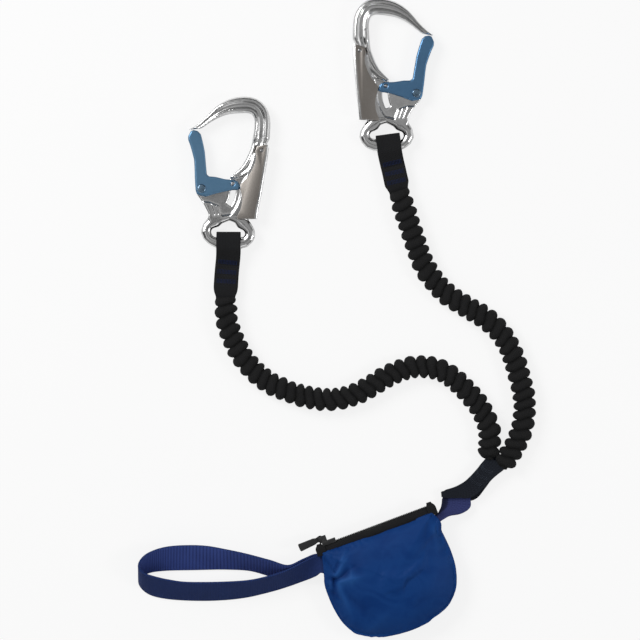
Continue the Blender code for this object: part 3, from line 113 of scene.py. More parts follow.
# A grid moved to its place point by point: along and across run from 0 to 1. A place may come with
# how deep in a fold or in shade it lies, from -1 on a ridge to 1 in a crease, kept as the attribute "fold",
# by which the materials paint shade and highlight.
def laidGrid(cellsAlong, cellsAcross, place, sizeU, sizeV, wrap=False):
    form = bmesh.new()
    uvLayer = form.loops.layers.uv.new("UVMap")
    foldLayer = form.verts.layers.float.new("fold")
    bmesh.ops.create_grid(form, x_segments=cellsAlong, y_segments=cellsAcross, size=0.5)
    shares = {vert: (vert.co.x + 0.5, vert.co.y + 0.5) for vert in form.verts}
    for face in form.faces:
        for loop in face.loops:
            s, t = shares[loop.vert]
            loop[uvLayer].uv = (s * sizeU, t * sizeV)
    for vert, (s, t) in shares.items():
        given = place(clamp(s), clamp(t))
        vert.co, vert[foldLayer] = given if isinstance(given, tuple) else (given, 0.0)
    if wrap:
        bmesh.ops.remove_doubles(form, verts=form.verts, dist=layout["weld"])
    return form


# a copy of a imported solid, with its flat faces whole again
def solidForm(node):
    form = bmesh.new()
    form.from_mesh(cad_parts[node].data)
    bmesh.ops.remove_doubles(form, verts=form.verts, dist=layout["weld"])
    bmesh.ops.dissolve_limit(form, angle_limit=math.radians(layout["flatAngle"]), verts=form.verts,
                             edges=form.edges)
    return form


def camelCase(node):
    first, *others = node.split("_")
    return first + "".join(word.title() for word in others)


def smoothUpTo(mesh, degrees):
    mesh.shade_smooth()
    if degrees < 180.0:
        mesh.set_sharp_from_angle(angle=math.radians(degrees))


# puts a finished bmesh on an object with its material and its body
def addPiece(name, form, material, body="webbing", stands=(), smoothAngle=180.0):
    mesh = bpy.data.meshes.new(name)
    form.normal_update()
    form.to_mesh(mesh)
    form.free()
    smoothUpTo(mesh, smoothAngle)
    mesh.materials.append(material)
    piece = bpy.data.objects.new(name, mesh)
    bpy.context.scene.collection.objects.link(piece)
    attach(piece, body)
    if stands:
        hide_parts(*stands)
    return piece


def addModifier(piece, kind, **values):
    modifier = piece.modifiers.new(kind.title(), kind)
    for key, value in values.items():
        setattr(modifier, key, value)


# makes the modifiers part of the mesh and smooths it
def bakeModifiers(piece, smoothAngle=180.0):
    bpy.context.view_layer.update()
    made = bpy.data.meshes.new_from_object(piece.evaluated_get(bpy.context.evaluated_depsgraph_get()))
    piece.modifiers.clear()
    piece.data = made
    smoothUpTo(made, smoothAngle)


def breakCorners(piece, width, angle, smoothAngle):
    addModifier(piece, "BEVEL", width=width, segments=2, limit_method="ANGLE",
                angle_limit=math.radians(angle), use_clamp_overlap=True)
    bakeModifiers(piece, smoothAngle)


# a shader node with its settings, each input linked to a socket or set to a value
def newNode(tree, kind, inputs=(), **settings):
    node = tree.nodes.new("ShaderNode" + kind)
    for key, value in settings.items():
        setattr(node, key, value)
    for key, value in dict(inputs).items():
        if hasattr(value, "links"):
            tree.links.new(value, node.inputs[key])
        else:
            node.inputs[key].default_value = value
    return node


def mathNode(tree, operation, *values):
    return newNode(tree, "Math", enumerate(values), operation=operation).outputs[0]


def mixNumber(tree, share, first, second):
    return newNode(tree, "Mix", {0: share, 2: first, 3: second}, data_type="FLOAT").outputs[0]


def mixColour(tree, share, first, second):
    return newNode(tree, "Mix", {0: share, 6: first, 7: second}, data_type="RGBA").outputs[2]


# Camera and light. The photograph looks straight down on a white ground.
studio = {
    "look": (320.0, 320.0), "distance": 3.0, "width": 0.544, "sensor": 36.0, "farthest": 20.0,
    "skyLevel": 0.50, "roomDark": 0.06, "roomTop": 0.42,
    "windows": [
        {"towards": (-0.84, 0.10, 0.53), "inner": 12, "outer": 26, "level": 1.35},
        {"towards": (0.28, 0.60, 0.75), "inner": 4, "outer": 10, "level": 1.2},
        {"towards": (0.25, -0.84, 0.48), "inner": 9, "outer": 20, "level": 1.1},
        {"towards": (-0.30, -0.12, 0.95), "inner": 2, "outer": 8, "level": 0.9},
        {"towards": (0.93, 0.05, 0.36), "inner": 9, "outer": 22, "level": 1.2},
    ],
    "lamps": [
        {"name": "softTop", "place": (-1.25, 0.95, 1.35), "size": 0.9, "power": 27.0},
        {"name": "sideStrip", "place": (1.1, -0.25, 0.9), "size": 0.35, "power": 4.0},
    ],
    "cards": [
        {"name": "darkCardTop", "place": (0.25, 1.15, 0.9), "size": (1.5, 0.5)},
        {"name": "darkCardLeft", "place": (-1.05, -0.1, 0.7), "size": (0.5, 1.3)},
        {"name": "darkCardOver", "place": (0.16, -0.05, 2.3), "size": (0.34, 0.9)},
    ],
    "cardColour": (0.02, 0.02, 0.02, 1.0), "floorSize": (6.0, 6.0), "floorColour": (0.83, 0.83, 0.83, 1.0),
    "floorWhite": 0.82,
}


# places a thing so that it looks at the middle of the lanyard
def aimInwards(thing, place):
    thing.location = place
    thing.rotation_euler = (-Vector(place)).to_track_quat("-Z", "Y").to_euler()


def addBoard(name, size, paint):
    form = bmesh.new()
    bmesh.ops.create_grid(form, x_segments=1, y_segments=1, size=0.5)
    bmesh.ops.scale(form, vec=(*size, 1.0), verts=form.verts)
    mesh = bpy.data.meshes.new(name)
    form.to_mesh(mesh)
    form.free()
    mesh.materials.append(paint)
    board = bpy.data.objects.new(name, mesh)
    bpy.context.scene.collection.objects.link(board)
    return board


def buildCamera(scene):
    eye = bpy.data.cameras.new("camera")
    eye.sensor_width = studio["sensor"]
    eye.lens = studio["sensor"] * studio["distance"] / studio["width"]
    eye.clip_end = studio["farthest"]
    camera = bpy.data.objects.new("camera", eye)
    centre = spot(*studio["look"])
    camera.location = (centre.x, centre.y, layout["karabinerHeight"] + studio["distance"])
    scene.collection.objects.link(camera)
    scene.camera = camera


def buildRoom(scene):
    world = bpy.data.worlds.new("whiteRoom")
    scene.world = world
    world.use_nodes = True
    tree = world.node_tree
    tree.nodes.clear()
    rays = newNode(tree, "LightPath").outputs
    # what polished metal sees: a dim room with soft windows round it
    towards = newNode(tree, "TexCoord").outputs["Generated"]
    height = newNode(tree, "SeparateXYZ", {0: towards}).outputs["Z"]
    level = newNode(tree, "MapRange", {"Value": height, "To Min": studio["roomDark"],
                                       "To Max": studio["roomTop"]}).outputs["Result"]
    for window in studio["windows"]:
        facing = newNode(tree, "VectorMath", {0: towards, 1: Vector(window["towards"]).normalized()},
                         operation="DOT_PRODUCT")
        pane = newNode(tree, "MapRange", {
            "Value": facing.outputs["Value"], "From Min": math.cos(math.radians(window["outer"])),
            "From Max": math.cos(math.radians(window["inner"])), "To Max": window["level"],
        }, interpolation_type="SMOOTHSTEP")
        level = mathNode(tree, "ADD", level, pane.outputs["Result"])
    # diffuse light is even, the camera sees white
    level = mixNumber(tree, rays["Is Glossy Ray"], studio["skyLevel"], level)
    level = mixNumber(tree, rays["Is Camera Ray"], level, 1.0)
    glow = newNode(tree, "Background", {"Strength": level})
    newNode(tree, "OutputWorld", {"Surface": glow.outputs[0]})


def buildStudio():
    scene = bpy.context.scene
    scene.view_settings.view_transform = "Standard"
    buildCamera(scene)
    buildRoom(scene)
    for lamp in studio["lamps"]:
        light = bpy.data.lights.new(lamp["name"], "AREA")
        light.shape = "SQUARE"
        light.size = lamp["size"]
        light.energy = lamp["power"]
        holder = bpy.data.objects.new(lamp["name"], light)
        aimInwards(holder, lamp["place"])
        scene.collection.objects.link(holder)

    # dark cards seen only in the metal, as beside a product table
    paint = bpy.data.materials.new("cardPaint")
    paint.use_nodes = True
    shader = paint.node_tree.nodes["Principled BSDF"]
    shader.inputs["Base Color"].default_value = studio["cardColour"]
    shader.inputs["Roughness"].default_value = 1.0
    for card in studio["cards"]:
        board = addBoard(card["name"], card["size"], paint)
        aimInwards(board, card["place"])
        for kind in ("camera", "diffuse", "shadow", "transmission"):
            setattr(board, "visible_" + kind, False)

    # the floor is lit like paper, and whiter still to the camera
    paint = bpy.data.materials.new("floorPaint")
    paint.use_nodes = True
    tree = paint.node_tree
    tree.nodes.clear()
    rays = newNode(tree, "LightPath").outputs
    share = mathNode(tree, "MULTIPLY", rays["Is Camera Ray"], studio["floorWhite"])
    matte = newNode(tree, "BsdfDiffuse", {"Color": studio["floorColour"]})
    white = newNode(tree, "Emission")
    blend = newNode(tree, "MixShader", {0: share, 1: matte.outputs[0], 2: white.outputs[0]})
    newNode(tree, "OutputMaterial", {"Surface": blend.outputs[0]})
    floor = addBoard("floor", studio["floorSize"], paint)
    print("studio ready")


# Shader node groups, each built once and placed with its own values. They all put out Colour, Height
# and Roughness.
def newGroup(name, inputs):
    tree = bpy.data.node_groups.new(name, "ShaderNodeTree")
    for label, value in inputs.items():
        kind = "NodeSocketColor" if isinstance(value, tuple) else "NodeSocketFloat"
        tree.interface.new_socket(name=label, in_out="INPUT", socket_type=kind).default_value = value
    for label, kind in (("Colour", "Color"), ("Height", "Float"), ("Roughness", "Float")):
        tree.interface.new_socket(name=label, in_out="OUTPUT", socket_type="NodeSocket" + kind)
    return tree, tree.nodes.new("NodeGroupInput").outputs


def closeGroup(tree, **results):
    made = tree.nodes.new("NodeGroupOutput")
    for label, socket in results.items():
        tree.links.new(socket, made.inputs[label])
    return tree


def noiseNode(tree, place, scale, detail, distortion=0.0):
    return newNode(tree, "TexNoise", {"Vector": place, "Scale": scale, "Detail": detail,
                                      "Distortion": distortion}).outputs["Fac"]


# how deep in a fold or in shade the surface lies, from laidGrid, for painted shade and painted highlight
def foldNode(tree):
    return newNode(tree, "Attribute", attribute_name="fold").outputs["Fac"]


weaveLook = {
    "yarnShift": 0.5, "yarnRound": 0.6, "rowRound": 0.5, "cordRound": 0.7,
    "cloudSize": 55.0, "cloudDetail": 5.0, "fuzzSize": 2600.0, "fuzzDetail": 2.0, "fuzzHeight": 0.35,
    "toneLow": 0.25, "toneSpan": 0.75, "foldShade": 0.9, "foldColour": (0.0008, 0.0008, 0.0010, 1.0),
    "roughness": 0.92, "roughnessFall": -0.12,
}


# woven tape: yarns along it, cords across it, in metres of the piece's own UV map
def buildWeaveGroup():
    look = weaveLook
    tree, given = newGroup("wovenTape", {
        "Colour": (0.02, 0.02, 0.02, 1.0), "Shade": (0.01, 0.01, 0.01, 1.0), "Cord Pitch": 0.0018,
        "Yarn Pitch": 0.0012, "Cord Depth": 0.5, "Patchiness": 0.3})
    calc = partial(mathNode, tree)
    spread = newNode(tree, "UVMap", uv_map="UVMap").outputs["UV"]
    split = newNode(tree, "SeparateXYZ", {0: spread}).outputs
    along = calc("DIVIDE", split["X"], given["Cord Pitch"])
    across = calc("DIVIDE", split["Y"], given["Yarn Pitch"])

    def bulges(turns, roundness):
        return calc("POWER", calc("ABSOLUTE", calc("SINE", calc("MULTIPLY", turns, math.pi))), roundness)

    # every second yarn runs over the cords half a step later
    odd = calc("MODULO", calc("FLOOR", across), 2.0)
    shifted = calc("ADD", along, calc("MULTIPLY", odd, look["yarnShift"]))
    weave = calc("MULTIPLY", bulges(shifted, look["yarnRound"]), bulges(across, look["rowRound"]))
    relief = mixNumber(tree, given["Cord Depth"], weave, bulges(along, look["cordRound"]))
    place = newNode(tree, "TexCoord").outputs["Object"]
    cloud = noiseNode(tree, place, look["cloudSize"], look["cloudDetail"])
    fuzz = noiseNode(tree, place, look["fuzzSize"], look["fuzzDetail"])
    patch = calc("MULTIPLY", calc("SUBTRACT", cloud, 0.5), given["Patchiness"])
    tone = calc("ADD", calc("MULTIPLY_ADD", relief, look["toneSpan"], look["toneLow"]), patch)
    tone = calc("MAXIMUM", calc("MINIMUM", tone, 1.0), 0.0)
    woven = mixColour(tree, tone, given["Shade"], given["Colour"])
    # little light reaches into the creases
    deep = calc("MULTIPLY", calc("MAXIMUM", foldNode(tree), 0.0), look["foldShade"])
    return closeGroup(tree, Colour=mixColour(tree, deep, woven, look["foldColour"]),
                      Height=calc("MULTIPLY_ADD", fuzz, look["fuzzHeight"], relief),
                      Roughness=calc("MULTIPLY_ADD", relief, look["roughnessFall"], look["roughness"]))


metalLook = {
    "grainDetail": 3.0, "grainHeight": 0.12, "waveDetail": 1.5, "smearSize": 230.0, "smearDetail": 6.0,
    "smearMiddle": 0.45, "edgeGain": 9.0, "edgeSmear": 1.6, "edgeBare": -0.2, "dullness": 1.6,
    "smoothest": 0.05,
}


# metal surface: waviness of the forging, hair scratches, dull patches, bright worn edges
def buildMetalGroup():
    look = metalLook
    tree, given = newGroup("workedMetal", {
        "Colour": (0.8, 0.8, 0.8, 1.0), "Dull Colour": (0.5, 0.5, 0.5, 1.0), "Roughness": 0.2,
        "Roughness Spread": 0.12, "Grain Size": 900.0, "Grain Stretch": 0.04, "Wave Size": 70.0,
        "Edge Width": 0.0006, "Edge Wear": 0.5, "Edge Colour": (0.9, 0.9, 0.9, 1.0)})
    calc = partial(mathNode, tree)
    place = newNode(tree, "TexCoord").outputs["Object"]
    stretch = newNode(tree, "CombineXYZ", {"X": 1.0, "Y": given["Grain Stretch"], "Z": 1.0})
    drawn = newNode(tree, "VectorMath", {0: place, 1: stretch.outputs[0]}, operation="MULTIPLY")
    grain = noiseNode(tree, drawn.outputs[0], given["Grain Size"], look["grainDetail"])
    wave = noiseNode(tree, place, given["Wave Size"], look["waveDetail"])
    smear = noiseNode(tree, place, look["smearSize"], look["smearDetail"])
    # edges: the shading of a rounded corner against the true face
    rounded = newNode(tree, "Bevel", {"Radius": given["Edge Width"]}, samples=4)
    face = newNode(tree, "NewGeometry").outputs["Normal"]
    turned = newNode(tree, "VectorMath", {0: rounded.outputs[0], 1: face}, operation="DOT_PRODUCT")
    edge = calc("MULTIPLY", calc("SUBTRACT", 1.0, turned.outputs["Value"]), look["edgeGain"])
    edge = calc("MULTIPLY", edge, calc("MULTIPLY_ADD", smear, look["edgeSmear"], look["edgeBare"]))
    edge = calc("MULTIPLY", calc("MAXIMUM", calc("MINIMUM", edge, 1.0), 0.0), given["Edge Wear"])
    dull = calc("MULTIPLY", calc("MULTIPLY", smear, wave), look["dullness"])
    body = mixColour(tree, dull, given["Colour"], given["Dull Colour"])
    spread = calc("MULTIPLY", calc("SUBTRACT", smear, look["smearMiddle"]), given["Roughness Spread"])
    hairs = calc("MULTIPLY", grain, look["grainHeight"])
    rough = calc("ADD", given["Roughness"], spread)
    return closeGroup(tree, Colour=mixColour(tree, edge, body, given["Edge Colour"]),
                      Height=calc("MULTIPLY_ADD", wave, 1.0, hairs),
                      Roughness=calc("MAXIMUM", rough, look["smoothest"]))


clothLook = {
    "creaseDetail": 4.0, "creaseTwist": 0.8, "creaseSharpness": 7.0, "creaseTone": 0.16, "creaseHeight": 0.22,
    "cloudSize": 16.0, "cloudDetail": 2.0, "cloudShade": 0.55, "ridgeRubAndHighlight": 0.65, "foldShade": 0.75,
    "threadHeight": 0.10, "roughness": 0.46, "roughnessSpan": 0.16,
}


# coated bag cloth: fine plain weave, broad tone changes and pressed creases
def buildClothGroup():
    look = clothLook
    tree, given = newGroup("coatedCloth", {
        "Colour": (0.0, 0.03, 0.15, 1.0), "Crease Colour": (0.01, 0.06, 0.25, 1.0),
        "Shade": (0.0, 0.01, 0.06, 1.0), "Thread Pitch": 0.0006, "Crease Size": 38.0})
    calc = partial(mathNode, tree)
    place = newNode(tree, "TexCoord").outputs["Object"]
    split = newNode(tree, "SeparateXYZ", {0: place}).outputs
    turns = calc("DIVIDE", math.pi, given["Thread Pitch"])
    warp, weft = (calc("SINE", calc("MULTIPLY", split[axis], turns)) for axis in "XY")
    threads = calc("MULTIPLY", warp, weft)
    crease = noiseNode(tree, place, given["Crease Size"], look["creaseDetail"], look["creaseTwist"])
    away = calc("MULTIPLY", calc("ABSOLUTE", calc("SUBTRACT", crease, 0.5)), look["creaseSharpness"])
    ridge = calc("MAXIMUM", calc("SUBTRACT", 1.0, away), 0.0)
    cloud = noiseNode(tree, place, look["cloudSize"], look["cloudDetail"])
    low = mixColour(tree, calc("MULTIPLY", cloud, look["cloudShade"]), given["Colour"], given["Shade"])
    folded = mixColour(tree, calc("MULTIPLY", ridge, look["creaseTone"]), low, given["Crease Colour"])
    # ridges of the pressed creases are painted pale, part rubbed wear and part painted highlight; their
    # bottoms get painted shade
    fold = foldNode(tree)
    high = calc("MAXIMUM", calc("MULTIPLY", fold, -1.0), 0.0)
    rubbedAndLit = mixColour(tree, calc("MULTIPLY", high, look["ridgeRubAndHighlight"]), folded, given["Crease Colour"])
    deep = calc("MAXIMUM", calc("MULTIPLY", fold, look["foldShade"]), 0.0)
    relief = calc("MULTIPLY", ridge, look["creaseHeight"])
    return closeGroup(tree, Colour=mixColour(tree, deep, rubbedAndLit, given["Shade"]),
                      Height=calc("MULTIPLY_ADD", threads, look["threadHeight"], relief),
                      Roughness=calc("MULTIPLY_ADD", cloud, look["roughnessSpan"], look["roughness"]))


# a material with its shader, one group before it and a bump after it
def newMaterial(name, group, values, bump, steady):
    material = bpy.data.materials.new(name)
    material.use_nodes = True
    tree = material.node_tree
    shader = tree.nodes["Principled BSDF"]
    source = newNode(tree, "Group", node_tree=group)
    for key, value in values.items():
        source.inputs[key].default_value = value
    relief = newNode(tree, "Bump", {"Strength": bump[0], "Distance": bump[1],
                                    "Height": source.outputs["Height"]})
    tree.links.new(source.outputs["Colour"], shader.inputs["Base Color"])
    tree.links.new(source.outputs["Roughness"], shader.inputs["Roughness"])
    tree.links.new(relief.outputs[0], shader.inputs["Normal"])
    for key, value in steady.items():
        shader.inputs[key].default_value = value
    return material


# for each finish, its group's values
wovenFinishes = {
    "webbingBlack": {"Colour": (0.0140, 0.0145, 0.0160, 1), "Shade": (0.0048, 0.0048, 0.0052, 1),
                     "Cord Pitch": 0.0015, "Yarn Pitch": 0.0013, "Cord Depth": 0.2, "Patchiness": 0.5},
    "junctionBlack": {"Colour": (0.0135, 0.0165, 0.0240, 1), "Shade": (0.0045, 0.0055, 0.0080, 1),
                      "Cord Pitch": 0.0015, "Yarn Pitch": 0.0013, "Cord Depth": 0.2, "Patchiness": 0.6},
    "sleeveBlack": {"Colour": (0.0150, 0.0150, 0.0155, 1), "Shade": (0.0045, 0.0045, 0.0048, 1),
                    "Cord Pitch": 0.0011, "Yarn Pitch": 0.0011, "Cord Depth": 0.15, "Patchiness": 0.5},
    "tackNavy": {"Colour": (0.0200, 0.0340, 0.1050, 1), "Shade": (0.0080, 0.0130, 0.0420, 1),
                 "Cord Pitch": 0.0008, "Yarn Pitch": 0.0008, "Cord Depth": 0.2, "Patchiness": 0.3},
    "tackSlate": {"Colour": (0.0650, 0.0760, 0.1000, 1), "Shade": (0.0250, 0.0300, 0.0420, 1),
                  "Cord Pitch": 0.0008, "Yarn Pitch": 0.0008, "Cord Depth": 0.2, "Patchiness": 0.3},
    "linkViolet": {"Colour": (0.036, 0.046, 0.150, 1), "Shade": (0.014, 0.018, 0.070, 1),
                   "Cord Pitch": 0.0017, "Yarn Pitch": 0.0013, "Cord Depth": 0.4, "Patchiness": 0.5},
    "loopBlue": {"Colour": (0.046, 0.080, 0.300, 1), "Shade": (0.010, 0.017, 0.075, 1),
                 "Cord Pitch": 0.0021, "Yarn Pitch": 0.0013, "Cord Depth": 0.85, "Patchiness": 0.5},
    "loopPlain": {"Colour": (0.016, 0.036, 0.140, 1), "Shade": (0.006, 0.012, 0.052, 1),
                  "Cord Pitch": 0.0016, "Yarn Pitch": 0.0013, "Cord Depth": 0.4, "Patchiness": 0.5},
    "zipTape": {"Colour": (0.0150, 0.0150, 0.0160, 1), "Shade": (0.0045, 0.0045, 0.0050, 1),
                "Cord Pitch": 0.0008, "Yarn Pitch": 0.0010, "Cord Depth": 0.1, "Patchiness": 0.4},
}
clothFinishes = {
    "pouchBlue": {"Colour": (0.0020, 0.038, 0.180, 1), "Crease Colour": (0.016, 0.085, 0.290, 1),
                  "Shade": (0.0006, 0.016, 0.095, 1), "Thread Pitch": 0.0006, "Crease Size": 38.0},
}
metalFinishes = {
    "polished": {"Colour": (0.86, 0.86, 0.86, 1), "Dull Colour": (0.58, 0.58, 0.58, 1), "Roughness": 0.20,
                 "Roughness Spread": 0.16, "Grain Stretch": 0.05, "Wave Size": 60.0, "Edge Wear": 0.4},
    "satin": {"Colour": (0.370, 0.342, 0.315, 1), "Dull Colour": (0.270, 0.247, 0.226, 1), "Roughness": 0.40,
              "Roughness Spread": 0.16, "Grain Stretch": 0.03, "Grain Size": 1500.0, "Wave Size": 30.0,
              "Edge Wear": 0.7, "Edge Colour": (0.75, 0.75, 0.74, 1)},
    "anodisedLeft": {"Colour": (0.140, 0.280, 0.440, 1), "Dull Colour": (0.100, 0.220, 0.360, 1),
                     "Roughness": 0.34, "Roughness Spread": 0.12, "Wave Size": 50.0, "Edge Wear": 0.35,
                     "Edge Colour": (0.36, 0.52, 0.68, 1)},
    "anodisedRight": {"Colour": (0.110, 0.245, 0.420, 1), "Dull Colour": (0.074, 0.175, 0.320, 1),
                      "Roughness": 0.30, "Roughness Spread": 0.12, "Wave Size": 50.0, "Edge Wear": 0.35,
                      "Edge Colour": (0.30, 0.45, 0.62, 1)},
    "bright": {"Colour": (0.72, 0.72, 0.74, 1), "Dull Colour": (0.42, 0.42, 0.43, 1), "Roughness": 0.20,
               "Roughness Spread": 0.14, "Wave Size": 300.0, "Edge Wear": 0.6},
    "rivet": {"Colour": (0.24, 0.36, 0.48, 1), "Dull Colour": (0.15, 0.25, 0.36, 1), "Roughness": 0.26,
              "Roughness Spread": 0.14, "Wave Size": 300.0, "Edge Wear": 0.6},
    "zipPlastic": {"Colour": (0.014, 0.014, 0.015, 1), "Dull Colour": (0.008, 0.008, 0.009, 1),
                   "Roughness": 0.42, "Roughness Spread": 0.2, "Wave Size": 400.0, "Edge Wear": 0.25,
                   "Edge Colour": (0.06, 0.06, 0.062, 1)},
}
# bumps as strength and depth in metres, then what each kind's shader is set to
metalBumps = {"polished": (0.35, 0.0006), "satin": (0.3, 0.0002), "anodisedLeft": (0.25, 0.0004),
              "anodisedRight": (0.25, 0.0004), "bright": (0.2, 0.0002), "rivet": (0.2, 0.0002),
              "zipPlastic": (0.2, 0.0002)}
metalShares = {"anodisedLeft": 0.7, "anodisedRight": 0.7, "zipPlastic": 0.0}  # the others are all metal
wovenBump, clothBump = (0.55, 0.0004), (0.5, 0.0007)
wovenSheen = {"Specular IOR Level": 0.14, "Sheen Weight": 0.03, "Sheen Roughness": 0.5}
clothSheen = {"Specular IOR Level": 0.10, "Sheen Weight": 0.06, "Sheen Roughness": 0.4,
              "Sheen Tint": (0.30, 0.26, 0.80, 1.0)}


def buildMaterials():
    woven, metal, cloth = buildWeaveGroup(), buildMetalGroup(), buildClothGroup()
    made = {}
    for name, values in wovenFinishes.items():
        made[name] = newMaterial(name, woven, values, wovenBump, wovenSheen)
    for name, values in clothFinishes.items():
        made[name] = newMaterial(name, cloth, values, clothBump, clothSheen)
    for name, values in metalFinishes.items():
        steady = {"Metallic": metalShares.get(name, 1.0)}
        made[name] = newMaterial(name, metal, values, metalBumps[name], steady)
    print(len(made), "materials")
    return made


# The two elastic arms: tubular webbing gathered over its core, in lobes that step from side to side.
arms = {
    "left": {
        "route": [
            (225.5, 297.4), (225.6, 306.0), (226.2, 315.0), (228.1, 325.5), (231.8, 336.0), (236.4, 345.5),
            (241.5, 355.2), (248.0, 363.9), (255.3, 372.1), (263.0, 378.4), (271.9, 384.2), (281.6, 388.7),
            (291.8, 392.7), (301.8, 395.8), (312.0, 397.8), (322.3, 399.2), (332.4, 399.4), (343.0, 398.0),
            (353.5, 394.8), (363.0, 390.5), (371.7, 385.6), (380.2, 380.3), (388.9, 375.4), (398.6, 371.2),
            (408.2, 368.0), (418.3, 366.7), (428.6, 367.1), (438.3, 369.5), (447.4, 373.9), (455.3, 379.8),
            (462.9, 387.0), (470.0, 394.3), (476.3, 401.8), (481.6, 410.0), (486.2, 419.4), (489.2, 429.5),
            (489.8, 439.9), (488.7, 449.2), (485.5, 458.7)],
        "seed": 3.0,
    },
    "right": {
        "route": [
            (398.7, 190.9), (401.3, 199.0), (404.2, 208.0), (407.0, 217.5), (410.5, 228.0), (414.4, 239.8),
            (418.2, 251.0), (422.2, 261.1), (426.8, 270.3), (432.5, 278.7), (439.1, 286.6), (446.5, 293.4),
            (454.4, 299.3), (463.0, 304.6), (471.6, 309.7), (480.1, 314.8), (488.0, 320.2), (495.2, 326.6),
            (501.4, 333.7), (506.6, 341.8), (511.1, 351.0), (514.7, 360.5), (517.6, 370.0), (520.2, 379.4),
            (522.6, 388.9), (524.2, 398.9), (524.6, 410.9), (523.4, 421.9), (520.8, 431.8), (517.0, 441.4),
            (512.2, 450.4), (506.6, 458.8), (500.4, 466.5)],
        "seed": 11.0,
    },
    "width": 0.0198, "flatness": 0.70, "pitch": 0.0086, "sideDepth": 0.0044, "topDepth": 0.0024,
    "stagger": 0.36, "roundness": 0.52, "endShare": 0.88, "endRun": 0.010, "capRun": 0.006, "capFall": 0.75,
    "unevenness": 0.20, "sizeSpread": 0.35, "seamDepth": 0.0007, "seamWidth": 0.22, "seamWander": 0.40,
    "puckerDepth": 0.00022, "sideSquareness": 0.9, "topSquareness": 0.85, "rowsPerLobe": 16, "around": 56,
    "aslant": 0.95, "depthPower": 1.5,
    # how quickly each unevenness changes along the arm, per metre, and from side to side
    "wanderRate": 42.0, "seamRate": 24.0, "staggerRate": 9.0, "puckerRate": 900.0, "staggerSpread": 1.1,
    "wanderAcross": 0.6, "lobeAcross": 2.0, "puckerAcross": 3.0,
    "seamPlane": 4.0, "staggerPlane": 9.0, "lobePlane": 5.0,  # where in the noise each is read
    "lobeRate": 3.7,  # how far apart the noise is read for two lobes
    "foldDepth": (1.15, -1.25), "foldLight": (0.45, 0.55),  # shade in the creases: by depth, by height
    "surfaceShare": 0.86,  # of a circle as wide, for the weave's scale
    "pathPoints": 91,
}


def buildArm(side, materials):
    plan, shape = arms[side], arms
    route = Route([spot(x, y, layout["armHeight"]) for x, y in plan["route"]])
    lobes = round(route.length / shape["pitch"])
    pitch = route.length / lobes
    seed = plan["seed"]

    def place(s, t):
        distance = s * route.length
        sideways, high = math.cos(t * math.tau), math.sin(t * math.tau)
        # the two edges of the flat tube gather out of step, so the creases run aslant over the top
        wander = waver(distance * shape["wanderRate"], sideways * shape["wanderAcross"], seed)
        wander *= shape["unevenness"]
        seam = shape["seamWander"] * waver(distance * shape["seamRate"], shape["seamPlane"], seed)
        patchy = waver(distance * shape["staggerRate"], shape["staggerPlane"], seed)
        stagger = shape["stagger"] * (1.0 + shape["staggerSpread"] * patchy)
        turn = distance / pitch + stagger * ease(0.5 - (sideways - seam) * shape["aslant"]) + wander
        lobe = abs(math.sin(math.pi * turn)) ** shape["roundness"]
        odd = waver(math.floor(turn) * shape["lobeRate"], shape["lobeAcross"] * sideways,
                    seed + shape["lobePlane"])
        size = 1.0 + shape["unevenness"] * odd
        deeper = (shape["sideDepth"] - shape["topDepth"]) * abs(sideways) ** shape["depthPower"]
        depth = shape["topDepth"] + deeper
        reach = shape["width"] / 2 * (1.0 + shape["sizeSpread"] * (size - 1.0)) - depth * (1.0 - lobe) * size
        reach -= shape["seamDepth"] * math.exp(-((sideways - seam) / shape["seamWidth"]) ** 2)
        pucker = waver(distance * shape["puckerRate"], sideways * shape["puckerAcross"],
                       high * shape["puckerAcross"] + seed)
        reach += shape["puckerDepth"] * pucker
        closing = ease(min(distance, route.length - distance) / shape["endRun"])
        reach *= shape["endShare"] + (1.0 - shape["endShare"]) * closing
        # rounded off where it is sewn into the junction
        capped = clamp(1.0 - (route.length - distance) / shape["capRun"])
        reach *= math.sqrt(1.0 - shape["capFall"] * capped ** 2)
        # a flat oval, squarer than a circle
        out = math.copysign(abs(sideways) ** shape["sideSquareness"], sideways)
        top = math.copysign(abs(high) ** shape["topSquareness"], high) * shape["flatness"]
        # painted shade in the creases between the lobes, stronger over the top and bottom than at the sides
        fold = clamp(shape["foldDepth"][0] + shape["foldDepth"][1] * lobe)
        fold *= shape["foldLight"][0] + shape["foldLight"][1] * abs(high)
        return route.at(distance) + (upwards * top - leftOf(route.heading(distance)) * out) * reach, fold

    form = laidGrid(lobes * shape["rowsPerLobe"], shape["around"], place, sizeU=route.length,
                    sizeV=math.pi * shape["width"] * shape["surfaceShare"], wrap=True)
    # close both ends with a shallow gathered cap
    for cap in bmesh.ops.holes_fill(form, edges=[e for e in form.edges if e.is_boundary])["faces"]:
        bmesh.ops.poke(form, faces=[cap])
    bmesh.ops.recalc_face_normals(form, faces=form.faces)
    piece = addPiece(side + "ArmSleeve", form, materials["sleeveBlack"],
                     stands=(side + "_arm_sleeve", side + "_arm_core"))
    print(side, "arm,", round(route.length * 1000), "mm,", lobes, "lobes,", len(piece.data.polygons), "faces")


# The karabiners' metal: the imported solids, either forged soft all over (a fine grid smoothed so many
# times) or with their corners broken, as tumbling leaves them. Lengths in metres, angles in degrees.
metalPieces = {
    "frame": {"finish": "polished", "slot": "polished_aluminium", "angle": 180, "grain": 0.00050,
              "soften": 15},
    "gate": {"finish": "anodised", "slot": "blue_anodised", "angle": 180, "grain": 0.00040, "soften": 9},
    "palm_lever": {"finish": "satin", "slot": "satin_steel", "angle": 30, "corner": 0.00022},
    "gate_rivet": {"finish": "rivet", "slot": "bright_steel", "angle": 30, "corner": 0.00020},
    "lock_pin": {"finish": "bright", "slot": "bright_steel", "angle": 30, "corner": 0.00015},
    "lever_pin": {"finish": "bright", "slot": "bright_steel", "angle": 30, "corner": 0.00015},
    "gate_spring": {"finish": "bright", "slot": "bright_steel", "angle": 60},
    "lever_spring": {"finish": "bright", "slot": "bright_steel", "angle": 60},
}
